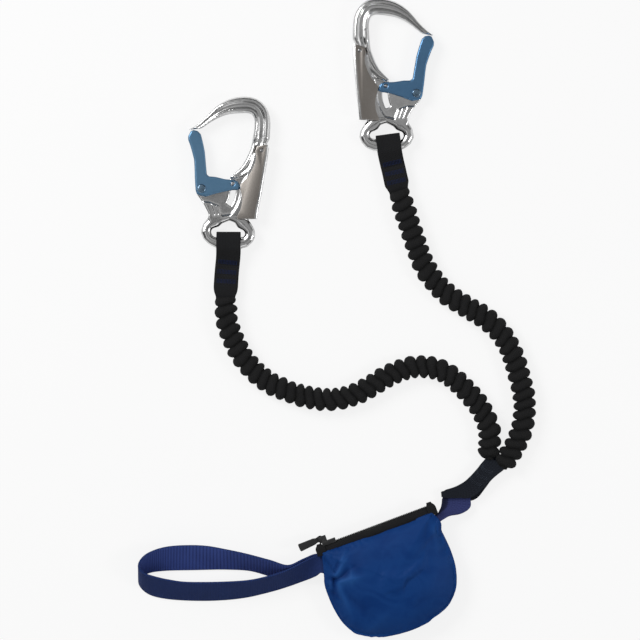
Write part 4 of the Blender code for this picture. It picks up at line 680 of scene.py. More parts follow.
# the bodies of the pieces that move; the others ride on the karabiner
movingMetal = {"gate": "gate", "lock_pin": "gate", "palm_lever": "palm_lever"}
# The lever's folded back catches a bright highlight, seen from above as a strip along its outer edge; that
# strip of its flat top is given the polished metal as a painted highlight. The edge is in shares of the
# karabiner's length.
leverFold = {"edge": [(0.185, 0.158), (0.194, 0.216), (0.206, 0.279), (0.219, 0.343), (0.235, 0.438),
                      (0.251, 0.533), (0.264, 0.622)], "length": 0.130, "width": 0.0021, "margin": 1.02}


def karabinerTurn(side):
    return Matrix.Rotation(math.radians(layout["rightTurn"]) if side == "right" else 0.0, 4, "Z")


# a place of the karabiner, in shares of its length, on the lying lanyard
def karabinerSpot(side, across, ahead):
    x, y = across * leverFold["length"], ahead * leverFold["length"]
    turn = 0.0
    if side == "right":
        x, turn = -x, math.radians(layout["rightTurn"])
    reach = Vector((x * math.cos(turn) - y * math.sin(turn), x * math.sin(turn) + y * math.cos(turn), 0.0))
    return spot(*layout[side + "Eye"], layout["karabinerHeight"]) + reach


# paints the highlight of the lever's fold: faces of a strip along the outer edge take the polished metal
def paintFoldHighlight(piece, side, material):
    form = bmesh.new()
    form.from_mesh(piece.data)
    edge = [karabinerSpot(side, *share) for share in leverFold["edge"]]
    pairs = list(zip(edge, edge[1:]))
    for first, second in pairs:
        ahead = (second - first).normalized()
        aside = leftOf(ahead) * (1.0 if side == "right" else -1.0)
        middle, reach = (first + second) / 2, (second - first).length / 2
        chosen = []
        for face in form.faces:
            runs = [(vert.co - middle).dot(ahead) for vert in face.verts]
            if min(runs) < reach and max(runs) > -reach:
                chosen.append(face)
        corners = dict.fromkeys(vert for face in chosen for vert in face.verts)
        sides = dict.fromkeys(line for face in chosen for line in face.edges)
        bmesh.ops.bisect_plane(form, geom=[*corners, *sides, *chosen],
                               plane_co=middle - aside * leverFold["width"], plane_no=aside)
    form.to_mesh(piece.data)
    form.free()
    piece.data.materials.append(material)
    for face in piece.data.polygons:
        away = []
        for first, second in pairs:
            ahead = (second - first).normalized()
            near = first + ahead * clamp((face.center - first).dot(ahead), 0.0, (second - first).length)
            away.append((face.center - near).xy.length)
        if min(away) < leverFold["width"] * leverFold["margin"]:
            face.material_index = 1


def buildKarabiner(side, materials):
    for label, plan in metalPieces.items():
        node = side + "_" + label
        finish = plan["finish"] + (side.title() if plan["finish"] == "anodised" else "")
        body = side + "_" + movingMetal.get(label, "karabiner")
        piece = addPiece(camelCase(node), solidForm(node), materials[finish], body=body, stands=(node,),
                         smoothAngle=plan["angle"])
        # the lever's fold gets a painted highlight in polished metal
        if label == "palm_lever":
            paintFoldHighlight(piece, side, materials["polished"])
        if "grain" in plan:
            # the fine grid runs square to the karabiner
            lying = karabinerTurn(side)
            piece.data.transform(lying.inverted())
            addModifier(piece, "REMESH", mode="VOXEL", voxel_size=plan["grain"], adaptivity=0.0)
            addModifier(piece, "SMOOTH", factor=0.5, iterations=plan["soften"])
            bakeModifiers(piece)
            piece.data.transform(lying)
            print(piece.name, len(piece.data.polygons), "faces")
        if "corner" in plan:
            breakCorners(piece, plan["corner"], plan["angle"], smoothAngle=40)
    print(side, "karabiner dressed")


# What all straps share: how far across the shade of a folded edge reaches and over what share it
# fades, how much of the thickness the rim is rounded by, and how quickly the ripples follow.
strapShape = {"shadeReach": 0.24, "shadeFade": 0.07, "rimRound": 0.36, "rimAngle": 50, "rimProfile": 0.6,
              "ripplesAlong": 60.0, "ripplesAcross": 1.5}


# A strap of webbing laid along rows of two edges, with a rounded rim.
# Each row: first edge, second edge, as points in metres.
def buildStrap(name, rows, thickness, material, stands, cells, ripple=0.0, seed=0.0, otherFace=None,
               edgeShade=0.0):
    # the same curve parameter on both edges keeps the rows square to the strap
    first, second = (Route([row[k] for row in rows], steps=6).fine for k in (0, 1))
    middle = Route([(row[0] + row[1]) / 2 for row in rows], steps=6)
    width = sum((a - b).length for a, b in zip(first, second)) / len(first)
    half = 0.5 / (len(first) - 1)

    def place(s, t):
        a, b = readAt(first, s), readAt(second, s)
        ahead = readAt(middle.fine, min(s + half, 1.0)) - readAt(middle.fine, max(s - half, 0.0))
        face = (b - a).cross(ahead).normalized()
        run = s * middle.length * strapShape["ripplesAlong"]
        lift = ripple * waver(run, t * strapShape["ripplesAcross"], seed)
        # the first edge may lie in the shade of a fold
        shade = edgeShade * clamp((strapShape["shadeReach"] - t) / strapShape["shadeFade"])
        return a.lerp(b, t) + face * lift, shade

    form = laidGrid(*cells, place, sizeU=middle.length, sizeV=width)
    bmesh.ops.recalc_face_normals(form, faces=form.faces)
    piece = addPiece(name, form, material, stands=stands)
    if otherFace:
        piece.data.materials.append(otherFace)
    face = 1 if otherFace else 0
    addModifier(piece, "SOLIDIFY", thickness=thickness, offset=0.0, use_even_offset=True, use_rim=True,
                material_offset=face, material_offset_rim=face)
    addModifier(piece, "BEVEL", width=thickness * strapShape["rimRound"], segments=3, limit_method="ANGLE",
                angle_limit=math.radians(strapShape["rimAngle"]), profile=strapShape["rimProfile"])
    bakeModifiers(piece, smoothAngle=70)


# Rows of thread that lie on a strap: each line's points, and the way that the strap faces there.
# A stitch is as long as the pitch less a gap at both its ends.
def buildStitches(name, lines, material, pitch, radius, rise=0.0, gap=0.12, flatness=0.7):
    form = bmesh.new()
    for points, face in lines:
        route = Route(points, steps=6)
        count = max(2, round(route.length / pitch))
        for k in range(count):
            start = route.at(route.length * (k + gap) / count)
            end = route.at(route.length * (k + 1 - gap) / count)
            ahead = (end - start).normalized()
            grown = bmesh.ops.create_uvsphere(form, u_segments=6, v_segments=5, radius=radius)["verts"]
            turn = turnTo(ahead, face.cross(ahead).normalized(), face)
            stretch = Matrix.Diagonal(((end - start).length / (2 * radius), 1.0, flatness, 1.0))
            shift = Matrix.Translation((start + end) / 2 + face * rise)
            bmesh.ops.transform(form, matrix=shift @ turn @ stretch, verts=grown)
    bmesh.ops.recalc_face_normals(form, faces=form.faces)
    addPiece(name, form, material)


# Sewn end loops: one webbing through each karabiner's eye, its plies sewn flat below it.
# Its profile: angles round the eye bar, then how far beyond the bar and how much of the height is left.
endLoops = {
    "left": {
        "route": [(228.5, 243.0), (228.3, 256.0), (226.8, 272.0), (225.8, 287.0), (225.5, 297.0)],
        "tacks": (0.0150, 0.0232, 0.0312),
    },
    "right": {
        "route": [(388.9, 145.3), (389.8, 152.0), (391.6, 161.0), (394.0, 171.0), (396.2, 181.0),
                  (398.6, 190.5)],
        "tacks": (0.0140, 0.0222, 0.0300),
    },
    "width": 0.0206, "thickness": 0.0017, "ply": 0.0010, "openLength": 0.0165,
    "wrapReach": 0.0087, "wrapHeight": 0.00570, "wrapAngles": (0, 14, 28, 42, 56, 70, 82), "wrapEnd": 0.002,
    "closing": ((0.0055, 0.96), (0.0092, 0.60), (0.0132, 0.18), (0.0165, 0.0)),
    "sewnShares": (0.25, 0.5, 0.72, 0.86, 1.0), "tuck": 0.0040, "tailShare": 0.80, "tailRun": 0.0065,
    "tackShare": 0.80, "tackHeight": 0.0018, "tackRows": 4, "tackStep": 0.00095,
    "threadPitch": 0.0013, "threadRadius": 0.00042, "ripple": 0.00012,
}


# place and heading on a route that runs on straight past both its ends
def straightAt(route, distance):
    ahead = route.heading(clamp(distance, 0.0, route.length))
    past = distance - clamp(distance, 0.0, route.length)
    return route.at(distance) + ahead * past, ahead


def buildEndLoop(side, materials):
    plan, shape = endLoops[side], endLoops
    route = Route([spot(x, y, layout["karabinerHeight"]) for x, y in plan["route"]])
    ply, high = shape["ply"], shape["wrapHeight"]
    # profile: distance beyond the eye bar, height off the middle
    upper = [(-shape["wrapReach"] * math.cos(math.radians(a)), high * math.sin(math.radians(a)))
             for a in shape["wrapAngles"]]
    upper.append((shape["wrapEnd"], high))
    upper += [(distance, ply + (high - ply) * share) for distance, share in shape["closing"]]
    sewn = route.length - shape["openLength"]
    upper += [(shape["openLength"] + sewn * share, ply) for share in shape["sewnShares"]]
    # the tail goes on into the sleeve, drawn in
    upper.append((route.length + shape["tuck"], ply))
    rows = []
    for distance, height in [(d, -h) for d, h in upper[:0:-1]] + upper:
        centre, ahead = straightAt(route, distance)
        drawn = ease((distance - (route.length - shape["tailRun"])) / shape["tailRun"])
        half = leftOf(ahead) * shape["width"] / 2 * (1.0 - (1.0 - shape["tailShare"]) * drawn)
        centre = centre + upwards * height
        rows.append((centre - half, centre + half))
    buildStrap(side + "EndLoop", rows, shape["thickness"], materials["webbingBlack"], (side + "_end_loop",),
               (150, 16), ripple=shape["ripple"], seed=2.0)
    # sewn bar tacks over both plies
    lines = []
    for distance in plan["tacks"]:
        # the first one lies where the plies still part
        height = (shape["tackHeight"] if distance < shape["openLength"] else ply) + shape["thickness"] / 2
        for row in range(shape["tackRows"]):
            centre, ahead = straightAt(route, distance + shape["tackStep"] * row)
            half = leftOf(ahead) * shape["width"] / 2 * shape["tackShare"]
            for face in (upwards, -upwards):
                middle = centre + face * height
                lines.append(((middle - half, middle, middle + half), face))
    buildStitches(side + "EndTacks", lines, materials["tackNavy"], shape["threadPitch"],
                  shape["threadRadius"])
    print(side, "end loop sewn")


# The black strap that both arms are sewn into, linked through the blue loop. Rows run from the bend
# where the two loops link back to the arms: first edge, second edge, share of the way down.
strapLinks = {
    "thickness": 0.0017, "upperArm": 0.0080, "lowerArm": 0.0060, "levels": (0.001, 0.003, 0.005, 0.007),
    "seamPly": 0.0010, "edgeShade": 0.85, "bendAngles": (-60, -30, 0, 30, 60), "pinch": 0.3,
    "junctionUpper": [
        ((444.4, 490.6), (444.9, 497.8), 1.0), ((447.0, 489.3), (449.6, 498.2), 1.0),
        ((451.4, 488.0), (458.8, 498.0), 1.0), ((457.0, 485.8), (470.6, 497.6), 0.9),
        ((464.6, 481.4), (481.4, 490.2), 0.5), ((472.2, 474.2), (490.4, 480.6), 0.15),
        ((479.0, 466.4), (497.6, 474.4), 0.0), ((485.0, 459.5), (503.4, 469.9), 0.0),
        ((487.4, 456.0), (505.4, 466.4), 0.1)],
    "junctionLower": [
        ((444.4, 491.2), (444.9, 498.0), 1.0), ((449.0, 491.4), (450.0, 498.4), 1.0),
        ((458.0, 491.8), (458.6, 500.0), 1.0), ((467.0, 491.8), (468.4, 501.4), 1.0),
        ((472.4, 490.2), (477.6, 498.0), 0.95), ((473.6, 481.8), (485.4, 488.2), 0.45),
        ((475.0, 474.6), (490.8, 480.8), 0.12), ((479.0, 466.4), (497.6, 474.4), 0.0),
        ((485.4, 458.5), (503.8, 468.9), 0.0), ((490.6, 449.6), (508.6, 460.0), -0.1)],
    "connector": [
        ((446.0, 494.0), (469.4, 491.2), 0.0), ((442.6, 498.4), (470.6, 498.6), 0.0),
        ((441.8, 504.0), (470.2, 507.6), 0.0), ((440.6, 508.6), (461.6, 513.2), 0.22),
        ((438.8, 511.4), (450.4, 515.2), 0.52), ((437.4, 513.0), (444.0, 518.6), 0.80),
        ((434.6, 514.6), (439.4, 521.8), 1.0), ((429.8, 522.0), (438.4, 526.6), 1.0),
        ((427.2, 533.0), (437.2, 536.0), 1.0), ((425.0, 543.4), (437.0, 545.4), 1.0)],
    "tacks": [((482.6, 463.4), (484.8, 468.6), (493.4, 472.0)),
              ((477.4, 469.4), (479.6, 474.6), (488.6, 478.4)),
              ((471.6, 475.6), (473.6, 480.6), (482.2, 484.6))],
    "tackSteps": (0.0, 0.9, 1.8), "tackDip": 0.0004, "threadPitch": 0.0013, "threadRadius": 0.00042,
    "threadRise": 0.0001,
}


# two plies that turn into each other over a round end
def foldedRows(upper, upperEnds, lower, lowerEnds):
    def lay(rows, ends):
        made = []
        for a, b, share in rows:
            height = ends[0] + (ends[1] - ends[0]) * share
            made.append((spot(*a, height), spot(*b, height)))
        return made

    top, bottom = lay(upper, upperEnds), lay(lower, lowerEnds)
    radius = (top[0][0].z - bottom[0][0].z) / 2
    middle = (top[0][0].z + bottom[0][0].z) / 2
    near, after = (top[0][0] + top[0][1]) / 2, (top[1][0] + top[1][1]) / 2
    ahead = ((near - after) * Vector((1.0, 1.0, 0.0))).normalized()
    bend = []
    for degrees in strapLinks["bendAngles"]:
        outwards, high = math.cos(math.radians(degrees)), math.sin(math.radians(degrees))
        row = []
        for edge in top[0]:
            point = edge.lerp(near, strapLinks["pinch"] * outwards) + ahead * radius * outwards
            row.append(Vector((point.x, point.y, middle + radius * high)))
        bend.append(row)
    return bottom[::-1] + bend + top


def buildLinks(materials):
    shape = strapLinks
    rows = foldedRows(shape["junctionUpper"], (shape["upperArm"], shape["levels"][3]),
                      shape["junctionLower"], (shape["lowerArm"], shape["levels"][1]))
    buildStrap("junctionStrap", rows, shape["thickness"], materials["junctionBlack"], ("junction_strap",),
               (150, 16), ripple=0.00035, seed=7.0)
    seam = layout["seamHeight"]
    rows = foldedRows(shape["connector"], (shape["levels"][2], seam + shape["seamPly"]),
                      shape["connector"], (shape["levels"][0], seam - shape["seamPly"]))
    buildStrap("connectorLoop", rows, shape["thickness"], materials["linkViolet"], ("connector_loop",),
               (170, 16), ripple=0.00025, seed=9.0, edgeShade=shape["edgeShade"])
    # the bar tacks bend down over the strap's left edge
    height = shape["upperArm"] + shape["thickness"] / 2
    heights = (height - shape["tackDip"], height, height)
    lines = []
    for tack in shape["tacks"]:
        for step in shape["tackSteps"]:
            lines.append(([spot(x - step, y + step, z) for (x, y), z in zip(tack, heights)], upwards))
    buildStitches("junctionTacks", lines, materials["tackSlate"], shape["threadPitch"],
                  shape["threadRadius"], rise=shape["threadRise"])
    print("links sewn")


# The blue tie-in loop stands on edge. Each row is its lower and its upper edge, as places in the plan
# with a height in shares of the loop's width. In its tail both ends lie flat, sewn into the pouch's seam.
tieIn = {
    "width": 0.025, "thickness": 0.0017, "seamPly": 0.0010, "ripple": 0.0002,
    "tail": [((349.0, 587.0), (348.0, 572.5)), ((337.0, 581.0), (336.5, 566.0)),
             ((322.4, 572.4), (322.0, 554.8))],
    "rows": [
        ((316.0, 576.0), 0.40, (315.0, 555.4), 0.60), ((305.0, 580.5), 0.18, (303.0, 561.0), 0.72),
        ((290.0, 586.0), 0.036, (288.0, 568.5), 0.73), ((271.0, 591.8), 0.024, (270.0, 574.8), 0.75),
        ((250.0, 597.0), 0.024, (251.0, 579.0), 0.76), ((228.0, 599.8), 0.024, (229.0, 580.8), 0.76),
        ((205.0, 601.0), 0.024, (206.0, 581.5), 0.76), ((183.0, 600.4), 0.024, (184.0, 581.0), 0.76),
        ((165.0, 598.8), 0.024, (169.0, 578.9), 0.76), ((150.5, 595.2), 0.024, (154.6, 575.6), 0.78),
        ((142.0, 589.2), 0.024, (144.0, 571.6), 0.80), ((138.8, 582.2), 0.024, (139.6, 565.0), 0.80),
        ((142.4, 576.2), 0.024, (142.6, 557.4), 0.76), ((151.0, 572.6), 0.024, (150.6, 551.4), 0.70),
        ((164.0, 571.0), 0.024, (165.0, 546.8), 0.62), ((183.0, 570.5), 0.024, (184.0, 544.9), 0.60),
        ((205.0, 570.0), 0.024, (206.0, 545.4), 0.62), ((228.0, 569.6), 0.024, (228.0, 549.2), 0.70),
        ((250.0, 571.0), 0.024, (250.0, 554.0), 0.76), ((270.0, 576.4), 0.024, (270.0, 559.4), 0.76),
        ((290.0, 582.0), 0.024, (288.0, 564.6), 0.71), ((305.0, 577.0), 0.09, (303.0, 558.4), 0.62),
        ((316.0, 574.0), 0.30, (315.0, 553.6), 0.48)],
}


def buildTieIn(materials):
    shape = tieIn
    heights = (layout["seamHeight"] + shape["seamPly"], layout["seamHeight"] - shape["seamPly"])
    upper, lower = ([(spot(*a, height), spot(*b, height)) for a, b in shape["tail"]] for height in heights)
    rows = []
    for a, low, b, high in shape["rows"]:
        rows.append((spot(*a, low * shape["width"]), spot(*b, high * shape["width"])))
    # ribbed on its inner face, plain on its outer one
    buildStrap("tieInLoop", upper + rows + lower[::-1], shape["thickness"], materials["loopBlue"],
               ("tie_in_loop",), (520, 18), ripple=shape["ripple"], seed=4.0,
               otherFace=materials["loopPlain"])
    print("tie-in loop laid")


# The pouch: two cut panels sewn round, crowned over the folded tear webbing inside, open at both
# mouths and along the zip. Places are picture units; the last number is how far the panels part.
pouch = {
    "outline": [
        (324.2, 574.2, 1.0), (325.0, 584.0, 0.2), (328.4, 595.0, 0.0), (334.4, 608.4, 0.0),
        (343.4, 622.2, 0.0), (355.6, 631.8, 0.0), (372.0, 635.6, 0.0), (392.0, 633.2, 0.0),
        (412.0, 627.6, 0.0), (430.0, 618.6, 0.0), (444.0, 608.6, 0.0), (451.8, 597.6, 0.0),
        (455.8, 584.0, 0.0), (455.2, 568.0, 0.0), (451.4, 553.6, 0.0), (446.0, 540.6, 0.0),
        (441.0, 530.4, 0.4), (439.8, 521.4, 1.0)],
    "leftCorner": 5, "rightCorner": 12, "centre": (393.0, 576.0), "steps": 16, "topPoints": 33,
    "wall": 0.0009, "wallEdge": 0.0003, "seamGap": 0.0003, "mouth": 0.0048, "cells": (150, 110),
    "clothSize": (0.105, 0.085), "roundness": 0.60,
    "front": {"rise": 0.0165, "fall": 2.6, "side": 1},
    "back": {"rise": 0.0128, "fall": 3.6, "side": -1},
    # creases pressed into the front: from, to, height in mm, width in picture units
    "creases": [
        ((333, 577), (353, 546), 2.2, 3.2), ((334, 579), (364, 557), -1.7, 3.0),
        ((335, 581), (374, 572), 1.8, 3.6), ((333, 577), (333, 608), -2.0, 2.2),
        ((337, 583), (355, 624), 1.5, 4.0), ((328, 580), (339, 606), 1.2, 2.4),
        ((341, 588), (386, 628), -0.8, 5.0), ((433, 523), (440, 560), 0.7, 3.4),
        ((427, 522), (422, 556), -0.6, 4.0), ((446, 545), (452, 592), 0.4, 4.0),
        ((416, 604), (448, 584), -0.4, 5.0), ((366, 632), (404, 596), 0.5, 6.0),
        ((345, 560), (420, 545), -0.4, 7.0), ((350, 566), (352, 600), 0.9, 3.2),
        ((333, 572), (343, 549), -1.2, 2.2), ((340, 560), (347, 545), 1.1, 2.2),
        ((330, 590), (345, 604), -1.0, 2.4)],
    "knot": ((333.5, 578.0), -1.6, 3.2), "creaseDepth": 0.0014,
    # in shares of the panel from its rim inwards: where creases fade out, and where the seam gathers
    "creaseRun": 0.12, "puckerRun": 0.10, "puckerStart": 0.02, "creaseWander": 0.07, "creaseSharpness": 1.35,
    "puckerDepth": 0.00077, "puckerPitch": 0.0062, "puckerRate": 1.1, "puckerPlane": 3.0,
    "softDepth": 0.0007, "softRate": 0.035, "softPlane": 6.0,
    # how far a crease bends aside, how it fades along its run, and how the panels part at the mouths
    "creaseBend": 0.4, "creaseFall": 1.15, "creaseLead": 0.15, "creaseRise": 0.25, "mouthPower": 3,
    "rimShare": 0.9995,
}
# How the front panel settles, as cloth a little larger than its seams. No point moves past the cap.
clothSettling = {
    "frames": 16, "cap": 0.0016, "quality": 6, "pressure": 2.0,
    "values": {"mass": 0.12, "tension_stiffness": 30.0, "compression_stiffness": 30.0,
               "shear_stiffness": 12.0, "bending_stiffness": 1.2, "shrink_min": -0.035},
}
# where the zip lies along the pouch's mouth, and its measures in metres
zipPlan = {
    "start": (320.0, 546.4), "end": (429.0, 505.8),
    "chainHeight": 0.0026, "chainDepth": 0.0016, "chainGap": 0.0012, "coilPitch": 0.0015,
    "tapeThickness": 0.0006, "tapeWidth": 0.0052, "tapeOver": 0.0014, "tapeLap": 0.0005, "tapeLift": 0.0006,
}


def zipSpot(along, out, height=0.0):
    start = spot(*zipPlan["start"], layout["seamHeight"] + height)
    ahead = (spot(*zipPlan["end"]) - spot(*zipPlan["start"])).normalized()
    return start + ahead * along + leftOf(ahead) * out


def zipRun():
    return (spot(*zipPlan["end"]) - spot(*zipPlan["start"])).length


# the panel's left, bottom, right and top edges as lists of points, then the ring that they make
def panelPlan():
    # the cloth runs on beneath the tape
    reach = zipPlan["tapeOver"] - zipPlan["chainHeight"] / 2 - zipPlan["tapeWidth"]
    ends = [zipSpot(along, reach) for along in (0.0, zipRun())]
    left, right = (Vector((end.x, end.y, 1.0)) for end in ends)
    cut = [spot(*point) for point in pouch["outline"]]
    fine = Route([left] + cut + [right], steps=pouch["steps"]).fine
    low, high = pouch["leftCorner"] * pouch["steps"], pouch["rightCorner"] * pouch["steps"]
    top = [left.lerp(right, k / (pouch["topPoints"] - 1)) for k in range(pouch["topPoints"])]
    return fine[:low + 1][::-1], fine[low:high + 1], fine[high:], top, fine + top[::-1]


# height in metres that the creases give at a place in picture units
def creaseHeight(x, y):
    total = 0.0
    here = Vector((x, y))
    for start, end, height, width in pouch["creases"]:
        a, along = Vector(start), Vector(end) - Vector(start)
        run = (here - a).dot(along) / along.length_squared
        away = (here - a - along * clamp(run)).length
        if 0 <= run <= 1:
            bend = waver(x * pouch["creaseWander"], y * pouch["creaseWander"], width) * width
            away = abs(away - bend * pouch["creaseBend"])
        fade = ease(pouch["creaseFall"] - pouch["creaseFall"] * clamp(run))
        fade *= ease((run + pouch["creaseLead"]) / pouch["creaseRise"])
        total += height * math.exp(-(away / width) ** pouch["creaseSharpness"]) * fade
    place, height, width = pouch["knot"]
    total += height * math.exp(-((here - Vector(place)).length / width) ** 2)
    return total * 0.001  # from millimetres


def panelForm(plan):
    left, bottom, right, top, ring = panelPlan()
    centre = spot(*pouch["centre"])
    turns = sorted((math.atan2(p.y - centre.y, p.x - centre.x), math.hypot(p.x - centre.x, p.y - centre.y))
                   for p in ring)
    angles, radii = np.array(turns).T
    wall, gap, side = pouch["wall"], pouch["seamGap"], plan["side"]

    def place(s, t):
        # between the four edges
        low, high, near, far = readAt(bottom, s), readAt(top, s), readAt(left, t), readAt(right, t)
        flat = (low * (1 - t) + high * t + near * (1 - s) + far * s
                - left[0] * (1 - s) * (1 - t) - right[0] * s * (1 - t)
                - left[-1] * (1 - s) * t - right[-1] * s * t)
        picture = (flat.x / layout["unit"] + layout["centreX"], layout["centreY"] - flat.y / layout["unit"])
        angle = math.atan2(flat.y - centre.y, flat.x - centre.x)
        radius = float(np.interp(angle, angles, radii, period=math.tau))
        onRim = min(s, 1 - s, t, 1 - t) < layout["weld"]
        share = clamp(math.hypot(flat.x - centre.x, flat.y - centre.y) / radius)
        share = 1.0 if onRim else min(share, pouch["rimShare"])
        inside = ease((1.0 - share) / pouch["creaseRun"])
        # crowned from the seam, which parts at the mouths
        parted = clamp(flat.z) * share ** pouch["mouthPower"]
        lift = gap / 2 + (pouch["mouth"] - gap) / 2 * parted + wall / 2
        height = lift + (plan["rise"] - lift - wall / 2) * (1.0 - share ** plan["fall"]) ** pouch["roundness"]
        crease = creaseHeight(*picture) if side > 0 else 0.0
        height += crease * inside
        # gathered along the seam, and softly uneven all over
        near = math.exp(-((1.0 - share) / pouch["puckerRun"]) ** 2)
        near *= ease((1.0 - share) / pouch["puckerStart"])
        around = angle * radius / pouch["puckerPitch"]
        pucker = waver(around * pouch["puckerRate"], 0.0, pouch["puckerPlane"] * side)
        height += pouch["puckerDepth"] * pucker * near
        soft = waver(picture[0] * pouch["softRate"], picture[1] * pouch["softRate"],
                     pouch["softPlane"] * side)
        height += pouch["softDepth"] * soft * inside
        # the back rests flat on the ground
        if side < 0:
            height = min(height, plan["rise"] - wall / 2)
        # how deep in a crease each point lies, for the painted shade in the creases and the painted highlight
        # on their ridges
        fold = clamp(-crease / pouch["creaseDepth"], -1.0, 1.0)
        return Vector((flat.x, flat.y, layout["seamHeight"] + side * height)), fold

    return laidGrid(*pouch["cells"], place, *pouch["clothSize"])


# lets the panel settle as real cloth, then keeps each point near its place
def settlePanel(piece):
    plan, mesh = clothSettling, piece.data
    before = np.empty(len(mesh.vertices) * 3)
    mesh.vertices.foreach_get("co", before)
    counts = {}
    for face in mesh.polygons:
        for key in face.edge_keys:
            counts[key] = counts.get(key, 0) + 1
    rim = sorted({vert for key, count in counts.items() if count == 1 for vert in key})
    piece.vertex_groups.new(name="sewn").add(rim, 1.0, "REPLACE")
    settle = piece.modifiers.new("Settle", "CLOTH")
    for key, value in plan["values"].items():
        setattr(settle.settings, key, value)
    settle.settings.quality = plan["quality"]
    settle.settings.vertex_group_mass = "sewn"
    settle.settings.use_pressure = True
    settle.settings.uniform_pressure_force = plan["pressure"]
    settle.settings.effector_weights.gravity = 0.0
    settle.collision_settings.use_collision = False
    settle.collision_settings.use_self_collision = False
    settle.point_cache.frame_start, settle.point_cache.frame_end = 1, plan["frames"]
    scene = bpy.context.scene
    for number in range(1, plan["frames"] + 1):
        scene.frame_set(number)
    after = np.empty(len(mesh.vertices) * 3)
    shown = piece.evaluated_get(bpy.context.evaluated_depsgraph_get()).to_mesh()
    shown.vertices.foreach_get("co", after)
    piece.modifiers.clear()
    scene.frame_set(1)
    move = (after - before).reshape(-1, 3)
    if not np.isfinite(move).all():
        move[:] = 0.0
    reach = np.linalg.norm(move, axis=1)
    kept = np.where(reach > plan["cap"], plan["cap"] / np.maximum(reach, 1e-9), 1.0)
    mesh.vertices.foreach_set("co", (before.reshape(-1, 3) + move * kept[:, None]).ravel())
    mesh.update()
    piece.vertex_groups.clear()
    print(piece.name, "settled, most", round(float(reach.max()) * 1000, 2), "mm before the cap")


def buildPouch(materials):
    for label in ("front", "back"):
        plan = pouch[label]
        form = panelForm(plan)
        bmesh.ops.recalc_face_normals(form, faces=form.faces)
        form.normal_update()
        form.faces.ensure_lookup_table()
        if form.faces[len(form.faces) // 2].normal.z * plan["side"] < 0:
            bmesh.ops.reverse_faces(form, faces=form.faces)
        piece = addPiece("pouch" + label.title(), form, materials["pouchBlue"], stands=("pouch_" + label,))
        if plan["side"] > 0:
            settlePanel(piece)
        addModifier(piece, "SOLIDIFY", thickness=pouch["wall"], offset=0.0, use_rim=True)
        breakCorners(piece, pouch["wallEdge"], 60, smoothAngle=180)
    print("pouch sewn")


# The zip: two tapes, two rows of coil that meet on edge, folded tape ends, end stops, slider and pull.
# Its measures are in zipPlan, because the cloth is cut to them.
zipTape = {"points": 25, "slack": 0.0011, "upperSlack": 0.3, "lowerSlack": 0.2,
           "bow": 0.0007, "bowRise": 0.3, "bowStretch": 2.4, "bowStart": 0.15,
           "waves": 7.0, "wavePlane": 2.0, "raggedEdge": 0.0003, "clear": 0.0003, "cells": (150, 8)}
zipCoil = {"turnLength": 0.36, "tilt": 12, "shift": 0.25, "cordRadius": 0.00045, "cordAside": 0.0003}
# where each end's fold begins and ends along the zip, how proud of the chain it is, and its round corners
zipFolds = {
    "left": {"from": -0.0044, "to": 0.0040, "proud": 0.0002, "round": 0.0022, "outerRound": 1.0},
    "right": {"from": -0.0029, "to": 0.0050, "proud": 0.0010, "round": 0.0026, "outerRound": 0.5},
    "thickness": 0.0007, "ripple": 0.0005, "lapLift": 0.0010, "kneeReach": 0.0024, "kneeLift": 0.0011,
    "sideShare": 0.4, "sideLift": 0.0009, "shoulderShares": (0.8, 0.72), "topReach": 0.0008,
}
zipParts = {
    "zip_top_stop": {"body": "webbing", "corner": 0.00022},
    "zip_end_stop": {"body": "webbing", "corner": 0.00022},
    "zip_slider": {"body": "zip_slider", "corner": 0.00016},
    "zip_pull": {"body": "zip_pull", "corner": 0.00022},
}
seamThread = {"offsets": (0.0006, 0.0017), "first": 0.02, "reach": 0.95, "points": 13, "height": 0.0004,
              "slope": 0.12, "pitch": 0.0022, "radius": 0.00020, "rise": 0.0001}


# how far out from the seam's middle a tape lies at the chain, and at the cloth
def tapeHeights():
    chain = zipPlan["chainGap"] / 2 + zipPlan["chainDepth"]
    near = chain + zipTape["clear"] + zipPlan["tapeThickness"] / 2
    return near, pouch["mouth"] / 2 + pouch["wall"] / 2


# how far below the zip's middle the tapes' lower edges lie
def tapeDrop():
    return zipPlan["chainHeight"] / 2 + zipPlan["tapeWidth"] + zipPlan["tapeLap"]


def buildTape(label, side, materials):
    run, plan = zipRun(), zipPlan
    near, far = tapeHeights()
    edges = ([], [], [])
    for k in range(zipTape["points"]):
        share = k / (zipTape["points"] - 1)
        wave = waver(share * zipTape["waves"], 0.0, zipTape["wavePlane"] * side)
        slack = zipTape["slack"] * math.sin(math.pi * share) * (1.0 + wave)
        bowed = clamp(share * zipTape["bowStretch"] - zipTape["bowStart"])
        bow = zipTape["bow"] * math.sin(math.pi * bowed) if side > 0 else 0.0
        upper = zipSpot(run * share, -plan["chainHeight"] / 4 + bow * zipTape["bowRise"],
                        side * (near + zipTape["upperSlack"] * slack))
        lower = zipSpot(run * share, -tapeDrop() - zipTape["raggedEdge"] * wave,
                        side * (far + plan["tapeLift"] + zipTape["lowerSlack"] * slack))
        for edge, point in zip(edges, (upper, (upper + lower) / 2 + upwards * side * slack, lower)):
            edge.append(point)
    edges = [Route(edge, steps=4).fine for edge in edges]

    # bowed out between its two edges
    def place(s, t):
        a, b, c = (readAt(edge, s) for edge in edges)
        return a * (1 - t) * (1 - 2 * t) + b * 4 * t * (1 - t) + c * t * (2 * t - 1)

    form = laidGrid(*zipTape["cells"], place, sizeU=run, sizeV=plan["tapeWidth"])
    bmesh.ops.recalc_face_normals(form, faces=form.faces)
    tape = addPiece("zipTape" + label.title(), form, materials["zipTape"], stands=("zip_tape_" + label,))
    addModifier(tape, "SOLIDIFY", thickness=plan["tapeThickness"], offset=0.0, use_rim=True)
    bakeModifiers(tape, smoothAngle=60)


